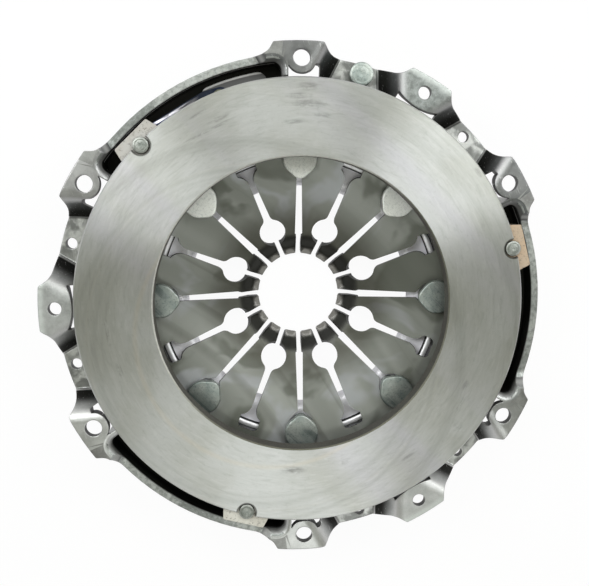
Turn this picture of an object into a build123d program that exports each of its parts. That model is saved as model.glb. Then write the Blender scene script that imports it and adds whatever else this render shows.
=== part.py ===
"""Push-type diaphragm clutch cover assembly for a 240 mm dry clutch.

The axis of rotation is Z and +Z points at the flywheel. z = 0 is the face of the bolt lugs that
seats on the flywheel, so the cover hangs below it and the friction face stands a little above it.
The unit is the millimetre. Everything is drawn in its released, unbolted state.
"""
import os
from math import asin, atan2, cos, degrees, hypot, radians, sin, tan

from build123d import *

# ---------------------------------------------------------------- pressure plate (cast iron ring)
FACE_OUTER_R = 120.0          # friction face, outer radius
FACE_WIDTH = 40.8             # radial width of the friction face
FACE_Z = 3.5                  # friction face above the bolt lugs before the cover is bolted down
RIM_THICK = 9.0               # thickness at the outer rim and at the bore
HUB_THICK = 13.5              # thickness of the band that carries the land
BAND_RUN = (7.0, 8.0)         # the band reaches this far inside and outside the land
BAND_SLOPE = (5.0, 3.0)       # and thins to the rim over these runs
EDGE_CHAMFER = 0.7            # broken edges of the friction face
EAR_COUNT = 3
EAR_OFFSET = 14.5             # degrees from the middle of its pocket to an ear
EAR_DROP = 3.0                # top of an ear below the friction face
EAR_THICK = 8.5
EAR_REACH = 6.3               # an ear stands this far beyond the friction face
EAR_ROOT = 6.0                # and is rooted this deep in the ring
EAR_BASE_WIDTH = 26.0
EAR_TIP_WIDTH = 22.6
EAR_CORNER_R = 1.0
LAND_INSET = 22.0             # the plate rests on the spring this far inside its outer edge
LAND_WIDTH = 6.0
LAND_COUNT = 12               # the land is cast as separate segments
LAND_GAP = 8.0                # open gap between two segments

# ---------------------------------------------------------------- diaphragm spring
SPRING_THICK = 2.6
SPRING_MARGIN = 6.0           # the sheet reaches this far beyond the land
LEVER = 17.2                  # from the land in to the wire ring that the spring tips on
FULCRUM_DEPTH = 30.3          # friction face down to the middle of the sheet over the wire ring
DISC_ANGLE = 14.0             # cone angle outside the wire ring
FINGER_ANGLE = 17.5           # cone angle of the fingers
TIP_R = 24.0
TIP_RUN = 3.8                 # the tips run nearly flat over this radial length
TIP_ANGLE = 8.0
DROP_RUN = 6.7                # and the finger ends drop steeply over this one
DROP_ANGLE = 47.0
SECTION_BENDS = (10.0, 7.0, 5.0)
FINGER_COUNT = 16
TIP_SLOT_WIDTH = 2.9
TIP_SLOT_RUN = 0.5            # the slots get wider this far outside the drop
SLOT_WIDTH = 4.4              # width there
NECK_WIDTH = 3.1              # they narrow to this at the neck of a window
NECK_CORNER_R = 1.5
KEYHOLE_RUN = 5.5             # centre of a keyhole outside the drop
KEYHOLE_R = 7.6
KEYHOLE_SHOULDER_R = 3.5
WINDOW_REACH = 2.2            # a window ends this far outside the wire ring
WINDOW_CORNER_R = 2.6
OPEN_LENGTH = 13.0            # windows between the rivets, from the end of the neck
OPEN_SIDE = 6.4               # length of their straight sides
OPEN_HALF_WIDTH = 6.0
RIVET_LENGTH = 14.6           # windows that the rivets pass through
RIVET_SIDE = 10.3
RIVET_SIDE_GAP = 2.4          # open gap beside the shank

# ---------------------------------------------------------------- wire ring and spacer rivets
WIRE_R = 2.25
SPACER_COUNT = 8
SHANK_R = 4.1
TAIL_R = 3.1
HEAD_REACH = 13.0             # the nose of a head reaches this far inside the wire ring
HEAD_LENGTH = 20.4
HEAD_WIDTH = 19.0
HEAD_NOSE_R = 5.1
HEAD_THICK = 3.2
HEAD_EDGE_R = 0.8
RIDGE_DROP = 2.3              # the ridge under the head that bears on the spring
RIDGE_R = 1.6
CLOSING_R = 5.1               # closing heads on the back of the cover
CLOSING_HEIGHT = 2.4
CLOSING_EDGE_R = 1.4

# ---------------------------------------------------------------- cover (pressed steel)
SHEET = 4.0
POCKET_REACH = 9.1            # wall of a strap pocket beyond the friction face
BOLT_INSET = 3.1              # bolt circle inside the rim of the cover
LUG_END = 8.5                 # outer edge of a lug beyond the bolt circle
BOLT_HOLE_R = 4.5             # clears an M8 screw
DOWEL_HOLE_R = 3.5
DOWEL_ANGLE = 60.0            # first dowel lug, from +X
BALANCE_INSET = 5.1           # balance holes inside the rim
BALANCE_HOLE_R = 3.0
BALANCE_OFFSET = 15.0         # balance holes stand this many degrees each side of a dowel lug
SHELF_Z = -15.0               # face of the recessed flats and of the strap pads
PAD_RISE = 2.5                # strap pad above the floor of its pocket
RIM_TOP_Z = -7.0              # trimmed top edge of the pocket walls
LIP_GAP = 1.75                # lip of the bore inside the closing heads
LIP_RUN = 1.6
LIP_DROP = 4.2
LIP_BEND_R = 2.6              # bend radii of the middle of the sheet
FLANGE_BEND_R = 5.0
WALL_GAP = 6.0                # top of the dish's wall outside the spring
WALL_RUN = 5.0                # the wall leans out by this much
SKIRT_RUN = 6.0               # edge of the dish under the lugs, outside the top of the wall
FOOT_BEND_R = 2.8             # foot of a ramp
TOP_BEND_R = 7.5              # top of a ramp
BOLT_RAMP_TURN = 28.0         # the folds of a ramp are turned this far from the lug's own radius
BOLT_FOLD_U = 7.3             # sideways place of the upper fold on the bolt circle
BOLT_RAMP_RUN = 11.2
DOWEL_RAMP_TURN = 31.0
DOWEL_FOLD_U = 11.2
DOWEL_RAMP_RUN = 13.2
BOLT_EDGE_U = (-14.8, 11.9)   # corners of the outer edge: pocket side and ramp side
BOLT_FOOT_U = (-18.0, 15.6)   # the flanks meet the rim here
DOWEL_EDGE_U = 11.9
DOWEL_FOOT_U = 15.9
FLANK_R = 7.4
LUG_CORNER_R = 1.2
BOLT_LUG_START = -3.0         # degrees from the lug's radius to where the pocket takes over
TONGUE_R = 8.0                # rounded inner edge of a bolt lug, concentric with its hole
NOTCH_SIDE = 9.8              # ramp side of the notches beside the tongue
NOTCH_DEPTH = 6.2
NOTCH_CORNER_R = 1.2
DOWEL_TONGUE_R = 24.0
DOWEL_TONGUE_SETBACK = 0.4    # tip of the shallow tongue behind the lug's inner edge
DOWEL_NOTCH_SIDE = 11.8
POCKET_END_U = 11.0           # end wall of a pocket beside the radius of a bolt lug
POCKET_CORNER_R = 4.3
POCKET_ROOT = 1.0             # the pocket floor runs this far into the wall of the dish
POCKET_LIP_R = 3.6            # rolled edge where the pocket runs out under a bolt lug
RIM_END_RUN = 11.3            # the pocket wall keeps its full height this far from each end
RIM_SLOPE_RUN = 6.5
RIM_SLOPE_R = 6.0
PAD_REACH = 8.0               # raised pad for the strap rivet, outwards from the rivet
PAD_END = 4.5                 # degrees from the rivet to the near end of the pad
PAD_START = 3.6               # degrees from the end of the pocket to the far end
PAD_CORNER_R = 5.0
PAD_WALL = 1.6                # the hollow pressed up from below lies this far inside the pad
RECESS_ROOT = 2.6             # and starts this far outside the wall of the dish

# ---------------------------------------------------------------- drive straps and their rivets
STRAP_INSET = 1.5             # strap rivets inside the edge of the friction face
STRAP_SPAN = 23.4             # degrees from the plate rivet back to the cover rivet
STRAP_WIDTH = 15.4
STRAP_END_R = 5.6             # rounded end about a rivet
STRAP_TAPER = 6.5             # the sides start to close in this far before the rivet
STRAP_THICK = 0.6
STRAP_LEAVES = 3
STRAP_FLAT = 8.5              # flat length from each rivet to the bend
STRAP_BEND_R = 12.0
STRAP_SHANK_R = 3.0
STRAP_HEAD_R = 4.3
STRAP_HEAD_HEIGHT = 2.3
STRAP_HEAD_EDGE_R = 0.6
STRAP_CLOSING_R = 4.7
STRAP_CLOSING_HEIGHT = 2.2
STRAP_CLOSING_EDGE_R = 1.2
NOTCH_GAP = 0.75              # round pocket in the plate's rim about the rivet head
ACCESS_HOLE_R = 7.5           # riveting tool hole in the pocket floor under each ear
BALANCE_HEAD_R = 6.5
BALANCE_HEAD_HEIGHT = 3.0
BALANCE_HEAD_EDGE_R = 0.9
BALANCE_CLOSING_R = 4.5
BALANCE_CLOSING_HEIGHT = 1.6
BALANCE_CLOSING_EDGE_R = 1.0

# ---------------------------------------------------------------- clearances
SEAT_GAP = 0.05               # pieces of one body that touch along a curve
MOVING_GAP = 0.3              # pieces of different bodies
HOLE_GAP = 0.1                # rivet shank in its hole
RIDGE_GAP = 0.15              # ridge of a spacer head above the spring
PLATE_GAP = 0.8               # plate's rim to the cover, across the radius

# ---------------------------------------------------------------- derived places
LUG_STEP = 360 / 12           # a lug every 30 degrees, with three strap pockets in their place
THIRDS = (0, 120, 240)
FACE_INNER_R = FACE_OUTER_R - FACE_WIDTH
RIM_BACK_Z = FACE_Z - RIM_THICK
HUB_BACK_Z = FACE_Z - HUB_THICK
EAR_OUTER_R = FACE_OUTER_R + EAR_REACH
EAR_TOP_Z = FACE_Z - EAR_DROP
EAR_BACK_Z = EAR_TOP_Z - EAR_THICK
EAR_ANGLE = DOWEL_ANGLE - 2 * LUG_STEP + EAR_OFFSET
EAR_NOTCH_R = STRAP_HEAD_R + NOTCH_GAP
LAND_R = FACE_OUTER_R - LAND_INSET

SPRING_OUTER_R = LAND_R + SPRING_MARGIN
FULCRUM_R = LAND_R - LEVER
FULCRUM_Z = FACE_Z - FULCRUM_DEPTH
DROP_END_R = TIP_R + TIP_RUN
DROP_START_R = DROP_END_R + DROP_RUN
TIP_SLOT_END_R = DROP_START_R + TIP_SLOT_RUN
KEYHOLE_PITCH_R = DROP_START_R + KEYHOLE_RUN
WINDOW_TOP_R = FULCRUM_R + WINDOW_REACH
OPEN_NECK_R = WINDOW_TOP_R - OPEN_LENGTH
OPEN_SHOULDER_R = WINDOW_TOP_R - OPEN_SIDE
RIVET_NECK_R = WINDOW_TOP_R - RIVET_LENGTH
RIVET_SHOULDER_R = WINDOW_TOP_R - RIVET_SIDE
RIVET_HALF_WIDTH = SHANK_R + RIVET_SIDE_GAP
MEAN_CONE = radians((DISC_ANGLE + FINGER_ANGLE) / 2)
SPRING_TOP_Z = FULCRUM_Z + SPRING_THICK / 2 / cos(MEAN_CONE)

RING_Z = FULCRUM_Z - (SPRING_THICK / 2 + WIRE_R + SEAT_GAP) / cos(MEAN_CONE)
SPACER_PITCH_R = FULCRUM_R - WIRE_R - HOLE_GAP - SHANK_R
HEAD_INNER_R = FULCRUM_R - HEAD_REACH
RIDGE_Z = SPRING_TOP_Z + RIDGE_GAP
HEAD_Z = RIDGE_Z + RIDGE_DROP

FLANGE_Z = RING_Z - WIRE_R - SEAT_GAP
FLANGE_MID_Z = FLANGE_Z - SHEET / 2
COVER_BACK_Z = FLANGE_Z - SHEET
SHELF_BACK_Z = SHELF_Z - SHEET
POCKET_Z = SHELF_Z - PAD_RISE
LIP_START_R = SPACER_PITCH_R - CLOSING_R - LIP_GAP
COVER_BORE_R = LIP_START_R - LIP_RUN
WALL_TOP_R = SPRING_OUTER_R + WALL_GAP
FLANGE_OUTER_R = WALL_TOP_R - WALL_RUN
SKIRT_R = WALL_TOP_R + SKIRT_RUN
POCKET_ROOT_R = WALL_TOP_R - POCKET_ROOT
POCKET_OUTER_R = FACE_OUTER_R + POCKET_REACH
POCKET_HALF_ANGLE = LUG_STEP - degrees(asin(POCKET_END_U / POCKET_OUTER_R))
POCKET_BACK_U = POCKET_END_U - SHEET
COVER_R = POCKET_OUTER_R + SHEET
BOLT_PITCH_R = COVER_R - BOLT_INSET
BALANCE_PITCH_R = COVER_R - BALANCE_INSET
LUG_OUTER_R = BOLT_PITCH_R + LUG_END
LUG_INNER_R = FACE_OUTER_R + PLATE_GAP
NOTCH_TOP_R = LUG_INNER_R + NOTCH_DEPTH
DOWEL_TONGUE_TIP_R = LUG_INNER_R + DOWEL_TONGUE_SETBACK
RIM_LOW_HALF_WIDTH = POCKET_OUTER_R * sin(radians(POCKET_HALF_ANGLE)) - RIM_END_RUN

PACK_THICK = STRAP_LEAVES * STRAP_THICK
STRAP_PITCH_R = FACE_OUTER_R - STRAP_INSET
STRAP_LENGTH = 2 * STRAP_PITCH_R * sin(radians(STRAP_SPAN / 2))
STRAP_MID_R = STRAP_PITCH_R * cos(radians(STRAP_SPAN / 2))
PAD_OUTER_R = STRAP_PITCH_R + PAD_REACH
PAD_ANGLES = (PAD_START - POCKET_HALF_ANGLE, EAR_OFFSET - STRAP_SPAN + PAD_END)
RECESS_R = (WALL_TOP_R + RECESS_ROOT, PAD_OUTER_R - PAD_WALL)
RECESS_TURN = degrees(PAD_WALL / STRAP_PITCH_R)
RECESS_ANGLES = (PAD_ANGLES[0] + RECESS_TURN, PAD_ANGLES[1] - RECESS_TURN)

# ---------------------------------------------------------------- reach of cutting tools
TOUCH = 0.01                  # two places closer than this are the same
OVER = 1.0                    # a cut runs this far past the surface that it leaves
ABOVE = FACE_Z + OVER         # height that clears the whole cover
BELOW = 2 * COVER_BACK_Z      # depth that clears everything
FAR = LUG_OUTER_R * 1.5       # radius that clears everything


def turned(shape, angle):
    """A copy of a shape turned about the clutch axis."""
    return Rot(0, 0, angle) * shape


def offset_path(points, distance):
    """The points of an open path moved sideways; positive is to the left of its direction."""
    normals = []
    for (x0, y0), (x1, y1) in zip(points, points[1:]):
        length = hypot(x1 - x0, y1 - y0)
        normals.append((-(y1 - y0) / length, (x1 - x0) / length))
    moved = []
    for i, (x, y) in enumerate(points):
        a = normals[max(i - 1, 0)]
        b = normals[min(i, len(normals) - 1)]
        scale = distance / (1 + a[0] * b[0] + a[1] * b[1])
        moved.append((x + (a[0] + b[0]) * scale, y + (a[1] + b[1]) * scale))
    return moved


def sheet_face(points, radii, thickness):
    """Cross-section of a bent sheet: its middle line and the bend radius at each inner point."""
    half = thickness / 2
    left_radii = [0.0]
    right_radii = [0.0]
    for (x0, y0), (x1, y1), (x2, y2), radius in zip(points, points[1:], points[2:], radii):
        turn = (x1 - x0) * (y2 - y1) - (y1 - y0) * (x2 - x1)
        side = half if turn > 0 else -half
        left_radii.append(radius - side)
        right_radii.append(radius + side)
    left_radii.append(0.0)
    right_radii.append(0.0)
    outline = offset_path(points, half) + offset_path(points, -half)[::-1]
    return make_face(FilletPolyline(*outline, radius=left_radii + right_radii[::-1], close=True))


def spun(face):
    """Revolve a face drawn as (radius, z) about the clutch axis."""
    return revolve(Plane.XZ * face, Axis.Z)


def polygon(points, radii=0.0):
    """A flat closed outline with optional corner radii."""
    if radii == 0.0:
        return make_face(Polyline(*points, close=True))
    return make_face(FilletPolyline(*points, radius=radii, close=True))


def prism(face, bottom, top):
    """Extrude a flat outline between two heights."""
    return Pos(0, 0, bottom) * extrude(face, top - bottom)


def cylinder(radius, bottom, top, x=0.0, y=0.0):
    """An upright cylinder between two heights."""
    return Pos(x, y, (bottom + top) / 2) * Cylinder(radius, top - bottom)


def sector(inner, outer, start, end):
    """A flat ring sector between two angles, measured from +Y towards +X."""
    reach = outer * 1.5
    a, b = radians(start), radians(end)
    middle = (a + b) / 2
    wedge = [(0, 0)] + [(reach * sin(t), reach * cos(t)) for t in (a, middle, b)]
    ring = Circle(outer) - Circle(inner)
    return ring & polygon(wedge)


def button_head(radius, height, edge):
    """A flat rivet head with a rounded edge, standing on z = 0."""
    profile = FilletPolyline((0, 0), (radius, 0), (radius, height), (0, height), radius=[0, 0, edge, 0],
                             close=True)
    return spun(make_face(profile))


def ring_edge_y(radius, x):
    """Height of a circle about the axis at a sideways place."""
    return (radius ** 2 - x ** 2) ** 0.5


# ================================================================ pressure plate
def spring_mid_z(radius):
    """Height of the middle of the spring sheet outside the fulcrum."""
    return FULCRUM_Z + (radius - FULCRUM_R) * tan(radians(DISC_ANGLE))


def land_profile():
    """Half section of the raised land whose rounded crest bears on the spring."""
    crest_r = LAND_WIDTH / 2
    slope = radians(DISC_ANGLE)
    crest_z = spring_mid_z(LAND_R) + (SPRING_THICK / 2 + MOVING_GAP + crest_r) / cos(slope)
    height = HUB_BACK_Z + OVER - crest_z
    body = Pos(LAND_R, crest_z + height / 2) * Rectangle(LAND_WIDTH, height)
    return body + Pos(LAND_R, crest_z) * Circle(crest_r)


def plate_ear():
    """One ear of the plate, pointing along +Y, with the rivet hole left for later."""
    base, tip = EAR_BASE_WIDTH / 2, EAR_TIP_WIDTH / 2
    edge_y = ring_edge_y(FACE_OUTER_R, base)
    outline = [(-base, edge_y - EAR_ROOT), (base, edge_y - EAR_ROOT), (base, edge_y),
               (tip, EAR_OUTER_R), (-tip, EAR_OUTER_R), (-base, edge_y)]
    return prism(polygon(outline, [0, 0, 0, EAR_CORNER_R, EAR_CORNER_R, 0]), EAR_BACK_Z, EAR_TOP_Z)


def pressure_plate():
    """Cast ring with the ground friction face, the segmented land behind it and three ears."""
    band_in, band_out = LAND_R - BAND_RUN[0], LAND_R + BAND_RUN[1]
    section = [(FACE_INNER_R, RIM_BACK_Z), (FACE_INNER_R, FACE_Z - EDGE_CHAMFER),
               (FACE_INNER_R + EDGE_CHAMFER, FACE_Z), (FACE_OUTER_R - EDGE_CHAMFER, FACE_Z),
               (FACE_OUTER_R, FACE_Z - EDGE_CHAMFER), (FACE_OUTER_R, RIM_BACK_Z),
               (band_out, RIM_BACK_Z), (band_out - BAND_SLOPE[1], HUB_BACK_Z), (band_in, HUB_BACK_Z),
               (band_in - BAND_SLOPE[0], RIM_BACK_Z)]
    plate = spun(polygon(section))
    land = spun(land_profile())
    gap = Pos(0, LAND_R, HUB_BACK_Z + BELOW / 2) * Box(LAND_GAP, 2 * LAND_WIDTH, -BELOW)
    for i in range(LAND_COUNT):
        land -= turned(gap, (i + 0.5) * 360 / LAND_COUNT)
    plate += land
    pocket = cylinder(EAR_NOTCH_R, EAR_TOP_Z, ABOVE, 0, STRAP_PITCH_R)
    hole = cylinder(STRAP_SHANK_R + HOLE_GAP, EAR_BACK_Z - OVER, FACE_Z, 0, STRAP_PITCH_R)
    for i in range(EAR_COUNT):
        angle = EAR_ANGLE - 90 + i * 360 / EAR_COUNT
        plate += turned(plate_ear(), angle)
        plate -= turned(pocket + hole, angle)
    return plate


# ================================================================ diaphragm spring
def spring_section():
    """Middle line of the spring sheet from its rim in to the finger tips."""
    drop_start_z = FULCRUM_Z - (FULCRUM_R - DROP_START_R) * tan(radians(FINGER_ANGLE))
    drop_end_z = drop_start_z - (DROP_START_R - DROP_END_R) * tan(radians(DROP_ANGLE))
    tip_z = drop_end_z - (DROP_END_R - TIP_R) * tan(radians(TIP_ANGLE))
    return [(SPRING_OUTER_R, spring_mid_z(SPRING_OUTER_R)), (FULCRUM_R, FULCRUM_Z),
            (DROP_START_R, drop_start_z), (DROP_END_R, drop_end_z), (TIP_R, tip_z)]


def tip_slot():
    """The narrow end of a slot, open to the bore."""
    return Pos(0, TIP_SLOT_END_R / 2) * Rectangle(TIP_SLOT_WIDTH, TIP_SLOT_END_R)


def open_window():
    """Slot end between two rivets: neck, concave flare and square window."""
    neck, root = NECK_WIDTH / 2, SLOT_WIDTH / 2
    flare = OPEN_HALF_WIDTH - neck
    rise = OPEN_SHOULDER_R - OPEN_NECK_R
    flare_r = (rise ** 2 + flare ** 2) / (2 * flare)
    turn = asin(rise / flare_r) / 2
    middle_x = neck + flare_r * (1 - cos(turn))
    middle_y = OPEN_NECK_R + flare_r * sin(turn)
    corner = WINDOW_CORNER_R
    slope = corner * (1 - sin(radians(45)))
    right = [
        Line((root, KEYHOLE_PITCH_R), (neck, OPEN_NECK_R)),
        ThreePointArc((neck, OPEN_NECK_R), (middle_x, middle_y), (OPEN_HALF_WIDTH, OPEN_SHOULDER_R)),
        Line((OPEN_HALF_WIDTH, OPEN_SHOULDER_R), (OPEN_HALF_WIDTH, WINDOW_TOP_R - corner)),
        ThreePointArc((OPEN_HALF_WIDTH, WINDOW_TOP_R - corner),
                      (OPEN_HALF_WIDTH - slope, WINDOW_TOP_R - slope),
                      (OPEN_HALF_WIDTH - corner, WINDOW_TOP_R)),
    ]
    left = [mirror(edge, Plane.YZ) for edge in right]
    top = Line((OPEN_HALF_WIDTH - corner, WINDOW_TOP_R), (corner - OPEN_HALF_WIDTH, WINDOW_TOP_R))
    foot = Line((-root, KEYHOLE_PITCH_R), (root, KEYHOLE_PITCH_R))
    return make_face(Wire(edges_of(right) + edges_of(left) + edges_of([top, foot])))


def edges_of(lines):
    """All edges of a list of line objects."""
    return [edge for line in lines for edge in line.edges()]


def keyhole_slot():
    """Slot with a round stress-relief hole, ending in a square window."""
    slot = open_window() + Pos(0, KEYHOLE_PITCH_R) * Circle(KEYHOLE_R)
    shoulders = [v for v in slot.vertices() if abs(hypot(v.X, v.Y - KEYHOLE_PITCH_R) - KEYHOLE_R) < TOUCH]
    shoulders = [v for v in shoulders if v.Y > KEYHOLE_PITCH_R + KEYHOLE_R / 2]
    return fillet(shoulders, KEYHOLE_SHOULDER_R) + tip_slot()


def rivet_slot():
    """Plain slot that opens into the window of a spacer rivet."""
    neck, root, wide = NECK_WIDTH / 2, SLOT_WIDTH / 2, RIVET_HALF_WIDTH
    points = [(-root, TIP_SLOT_END_R), (root, TIP_SLOT_END_R), (neck, RIVET_NECK_R),
              (wide, RIVET_SHOULDER_R), (wide, WINDOW_TOP_R), (-wide, WINDOW_TOP_R),
              (-wide, RIVET_SHOULDER_R), (-neck, RIVET_NECK_R)]
    radii = [0, 0] + 2 * [NECK_CORNER_R] + 2 * [WINDOW_CORNER_R] + 2 * [NECK_CORNER_R]
    return polygon(points, radii) + tip_slot()


def diaphragm_spring():
    """Slotted cone of spring steel."""
    spring = spun(sheet_face(spring_section(), SECTION_BENDS, SPRING_THICK))
    plain = prism(rivet_slot(), BELOW, 0)
    keyed = prism(keyhole_slot(), BELOW, 0)
    step = 360 / FINGER_COUNT
    for i in range(SPACER_COUNT):
        spring -= turned(plain, 2 * i * step)
        spring -= turned(keyed, (2 * i + 1) * step)
    return spring


# ================================================================ wire ring and spacer rivets
def fulcrum_ring():
    """Wire ring between the spring and the cover."""
    return Pos(0, 0, RING_Z) * Torus(FULCRUM_R, WIRE_R)


def spacer_rivet():
    """Shouldered rivet whose broad head holds the spring down; it stands on the +Y axis."""
    broad_y = HEAD_INNER_R + HEAD_LENGTH - HEAD_WIDTH / 2
    outline = Pos(0, broad_y) * Circle(HEAD_WIDTH / 2)
    outline += Pos(0, HEAD_INNER_R + HEAD_NOSE_R) * Circle(HEAD_NOSE_R)
    plan = make_hull(outline.edges())
    head = prism(plan, HEAD_Z, HEAD_Z + HEAD_THICK)
    head = fillet(head.edges().group_by(Axis.Z)[-1], HEAD_EDGE_R)
    ridge = Pos(0, FULCRUM_R, RIDGE_Z + RIDGE_R) * Rot(0, 90, 0) * Cylinder(RIDGE_R, HEAD_WIDTH)
    ridge += Pos(0, FULCRUM_R, HEAD_Z) * Box(HEAD_WIDTH, 2 * RIDGE_R, 2 * (HEAD_Z - RIDGE_Z - RIDGE_R))
    ridge &= prism(plan, RIDGE_Z, HEAD_Z)
    shank = cylinder(SHANK_R, FLANGE_Z, HEAD_Z, 0, SPACER_PITCH_R)
    tail = cylinder(TAIL_R, COVER_BACK_Z, FLANGE_Z, 0, SPACER_PITCH_R)
    closing = Rot(180, 0, 0) * button_head(CLOSING_R, CLOSING_HEIGHT, CLOSING_EDGE_R)
    return head + ridge + shank + tail + Pos(0, SPACER_PITCH_R, COVER_BACK_Z) * closing


# ================================================================ cover
def cover_dish():
    """The pot of the cover, spun in one piece with a full-width shelf around it."""
    path = [(COVER_BORE_R, FLANGE_MID_Z - LIP_DROP), (LIP_START_R, FLANGE_MID_Z),
            (FLANGE_OUTER_R, FLANGE_MID_Z), (WALL_TOP_R, SHELF_Z - SHEET / 2),
            (COVER_R, SHELF_Z - SHEET / 2)]
    return spun(sheet_face(path, [LIP_BEND_R, FLANGE_BEND_R, FLANGE_BEND_R], SHEET))


def ramp_strip(fold_u, turn, run):
    """Sheet that runs flat over a lug and down a ramp to the shelf.

    The lug points along +Y and the ramp falls towards +X. The folds are straight lines turned by
    `turn` degrees from the lug's radius towards the ramp."""
    top_z, low_z = -SHEET / 2, SHELF_Z - SHEET / 2
    fold_s = fold_u * cos(radians(turn)) - BOLT_PITCH_R * sin(radians(turn))
    path = [(fold_s - FAR, top_z), (fold_s, top_z), (fold_s + run, low_z), (fold_s + FAR, low_z)]
    face = sheet_face(path, [TOP_BEND_R, FOOT_BEND_R], SHEET)
    strip = extrude(Plane.XZ * face, -FAR)
    return Rot(0, 0, -turn) * strip


def foot_line(fold_u, turn, run):
    """Two points of the line at the foot of a ramp, well inside and outside the cover."""
    t = radians(turn)
    foot_s = fold_u * cos(t) - BOLT_PITCH_R * sin(t) + run
    return [(foot_s * cos(t) + d * sin(t), -foot_s * sin(t) + d * cos(t)) for d in (SKIRT_R / 2, FAR)]


def lug_flank(edge_u, foot_u):
    """Straight flank of a lug: a point on the cover's rim and one beyond the outer edge."""
    foot_y = ring_edge_y(COVER_R, foot_u)
    lean = (foot_u - edge_u) / (ring_edge_y(LUG_OUTER_R, edge_u) - foot_y)
    top_y = LUG_OUTER_R + SHEET
    return [(foot_u + lean * OVER, foot_y - OVER), (foot_u - lean * (top_y - foot_y), top_y)]


def lug_outline(edge_u, foot_u):
    """Plan of a lug pointing along +Y, from its left and right edge and foot places."""
    left = lug_flank(edge_u[0], foot_u[0])
    right = lug_flank(edge_u[1], foot_u[1])
    outline = polygon([(foot_u[0], SKIRT_R)] + left + right[::-1] + [(foot_u[1], SKIRT_R)])
    outline &= Circle(LUG_OUTER_R)
    corners = [v for v in outline.vertices() if abs(hypot(v.X, v.Y) - LUG_OUTER_R) < TOUCH]
    return fillet(corners, LUG_CORNER_R)


def cover_outline():
    """Plan of the whole cover: a disc with nine lugs."""
    bolt = lug_outline(BOLT_EDGE_U, BOLT_FOOT_U)
    dowel = lug_outline((-DOWEL_EDGE_U, DOWEL_EDGE_U), (-DOWEL_FOOT_U, DOWEL_FOOT_U))
    outline = Circle(COVER_R)
    for angle in THIRDS:
        outline += turned(dowel, angle)
        outline += turned(bolt, angle + LUG_STEP)
        outline += turned(mirror(bolt, Plane.YZ), angle - LUG_STEP)
    rim = [v for v in outline.vertices() if abs(hypot(v.X, v.Y) - COVER_R) < TOUCH]
    return fillet(rim, FLANK_R)


def bolt_lug():
    """Bolt lug pointing along +Y with its ramp towards +X; the pocket side is added later."""
    strip = ramp_strip(BOLT_FOLD_U, BOLT_RAMP_TURN, BOLT_RAMP_RUN)
    region = sector(LUG_INNER_R, LUG_OUTER_R + OVER, BOLT_LUG_START, LUG_STEP / 2 + TOUCH)
    return strip & prism(region, BELOW, ABOVE)


def dowel_lug():
    """Dowel lug pointing along +Y with a ramp on each side."""
    strip = ramp_strip(DOWEL_FOLD_U, DOWEL_RAMP_TURN, DOWEL_RAMP_RUN)
    region = sector(LUG_INNER_R, LUG_OUTER_R + OVER, -TOUCH, LUG_STEP / 2 + TOUCH)
    half = strip & prism(region, BELOW, ABOVE)
    return half + mirror(half, Plane.YZ)


def lug_opening(feet_right, feet_left):
    """Plan of the opening under a lug, between the feet of its ramps."""
    points = [feet_left[0], feet_left[1], feet_right[1], feet_right[0]]
    return polygon(points) - Circle(SKIRT_R)


def bolt_opening():
    """Opening under a bolt lug: from the foot of its ramp to the end wall of the pocket."""
    right = foot_line(BOLT_FOLD_U, BOLT_RAMP_TURN, BOLT_RAMP_RUN)
    edge = -POCKET_END_U - OVER
    return lug_opening(right, [(edge, SKIRT_R / 2), (edge, FAR)])


def dowel_opening():
    """Opening under a dowel lug, between the feet of its two ramps."""
    right = foot_line(DOWEL_FOLD_U, DOWEL_RAMP_TURN, DOWEL_RAMP_RUN)
    left = [(-x, y) for x, y in right]
    return lug_opening(right, left)


def bolt_notches():
    """Relief notches that leave a rounded tongue around the bolt hole."""
    left, right = -POCKET_BACK_U, NOTCH_SIDE
    corners = [(left, SKIRT_R), (right, SKIRT_R), (right, NOTCH_TOP_R), (left, NOTCH_TOP_R)]
    block = polygon(corners, [0, 0, NOTCH_CORNER_R, NOTCH_CORNER_R])
    return block - Pos(0, BOLT_PITCH_R) * Circle(TONGUE_R)


def dowel_notches():
    """Relief slots on both sides of the shallow tongue of a dowel lug."""
    w = DOWEL_NOTCH_SIDE
    centre_y = DOWEL_TONGUE_TIP_R + DOWEL_TONGUE_R
    top = centre_y - (DOWEL_TONGUE_R ** 2 - w ** 2) ** 0.5
    block = polygon([(-w, SKIRT_R), (w, SKIRT_R), (w, top), (-w, top)])
    return block - Pos(0, centre_y) * Circle(DOWEL_TONGUE_R)


def pocket_plan(grow):
    """Plan of a strap pocket, centred on +Y, grown outwards by `grow`."""
    outer = POCKET_OUTER_R + grow
    spread = degrees(grow / POCKET_OUTER_R)
    half = POCKET_HALF_ANGLE + spread
    plan = sector(WALL_TOP_R - SHEET, outer, -half, half)
    corners = [v for v in plan.vertices() if abs(hypot(v.X, v.Y) - outer) < TOUCH]
    corners = [v for v in corners if abs(abs(degrees(atan2(v.X, v.Y))) - half) < TOUCH]
    return fillet(corners, POCKET_CORNER_R + grow)


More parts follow.
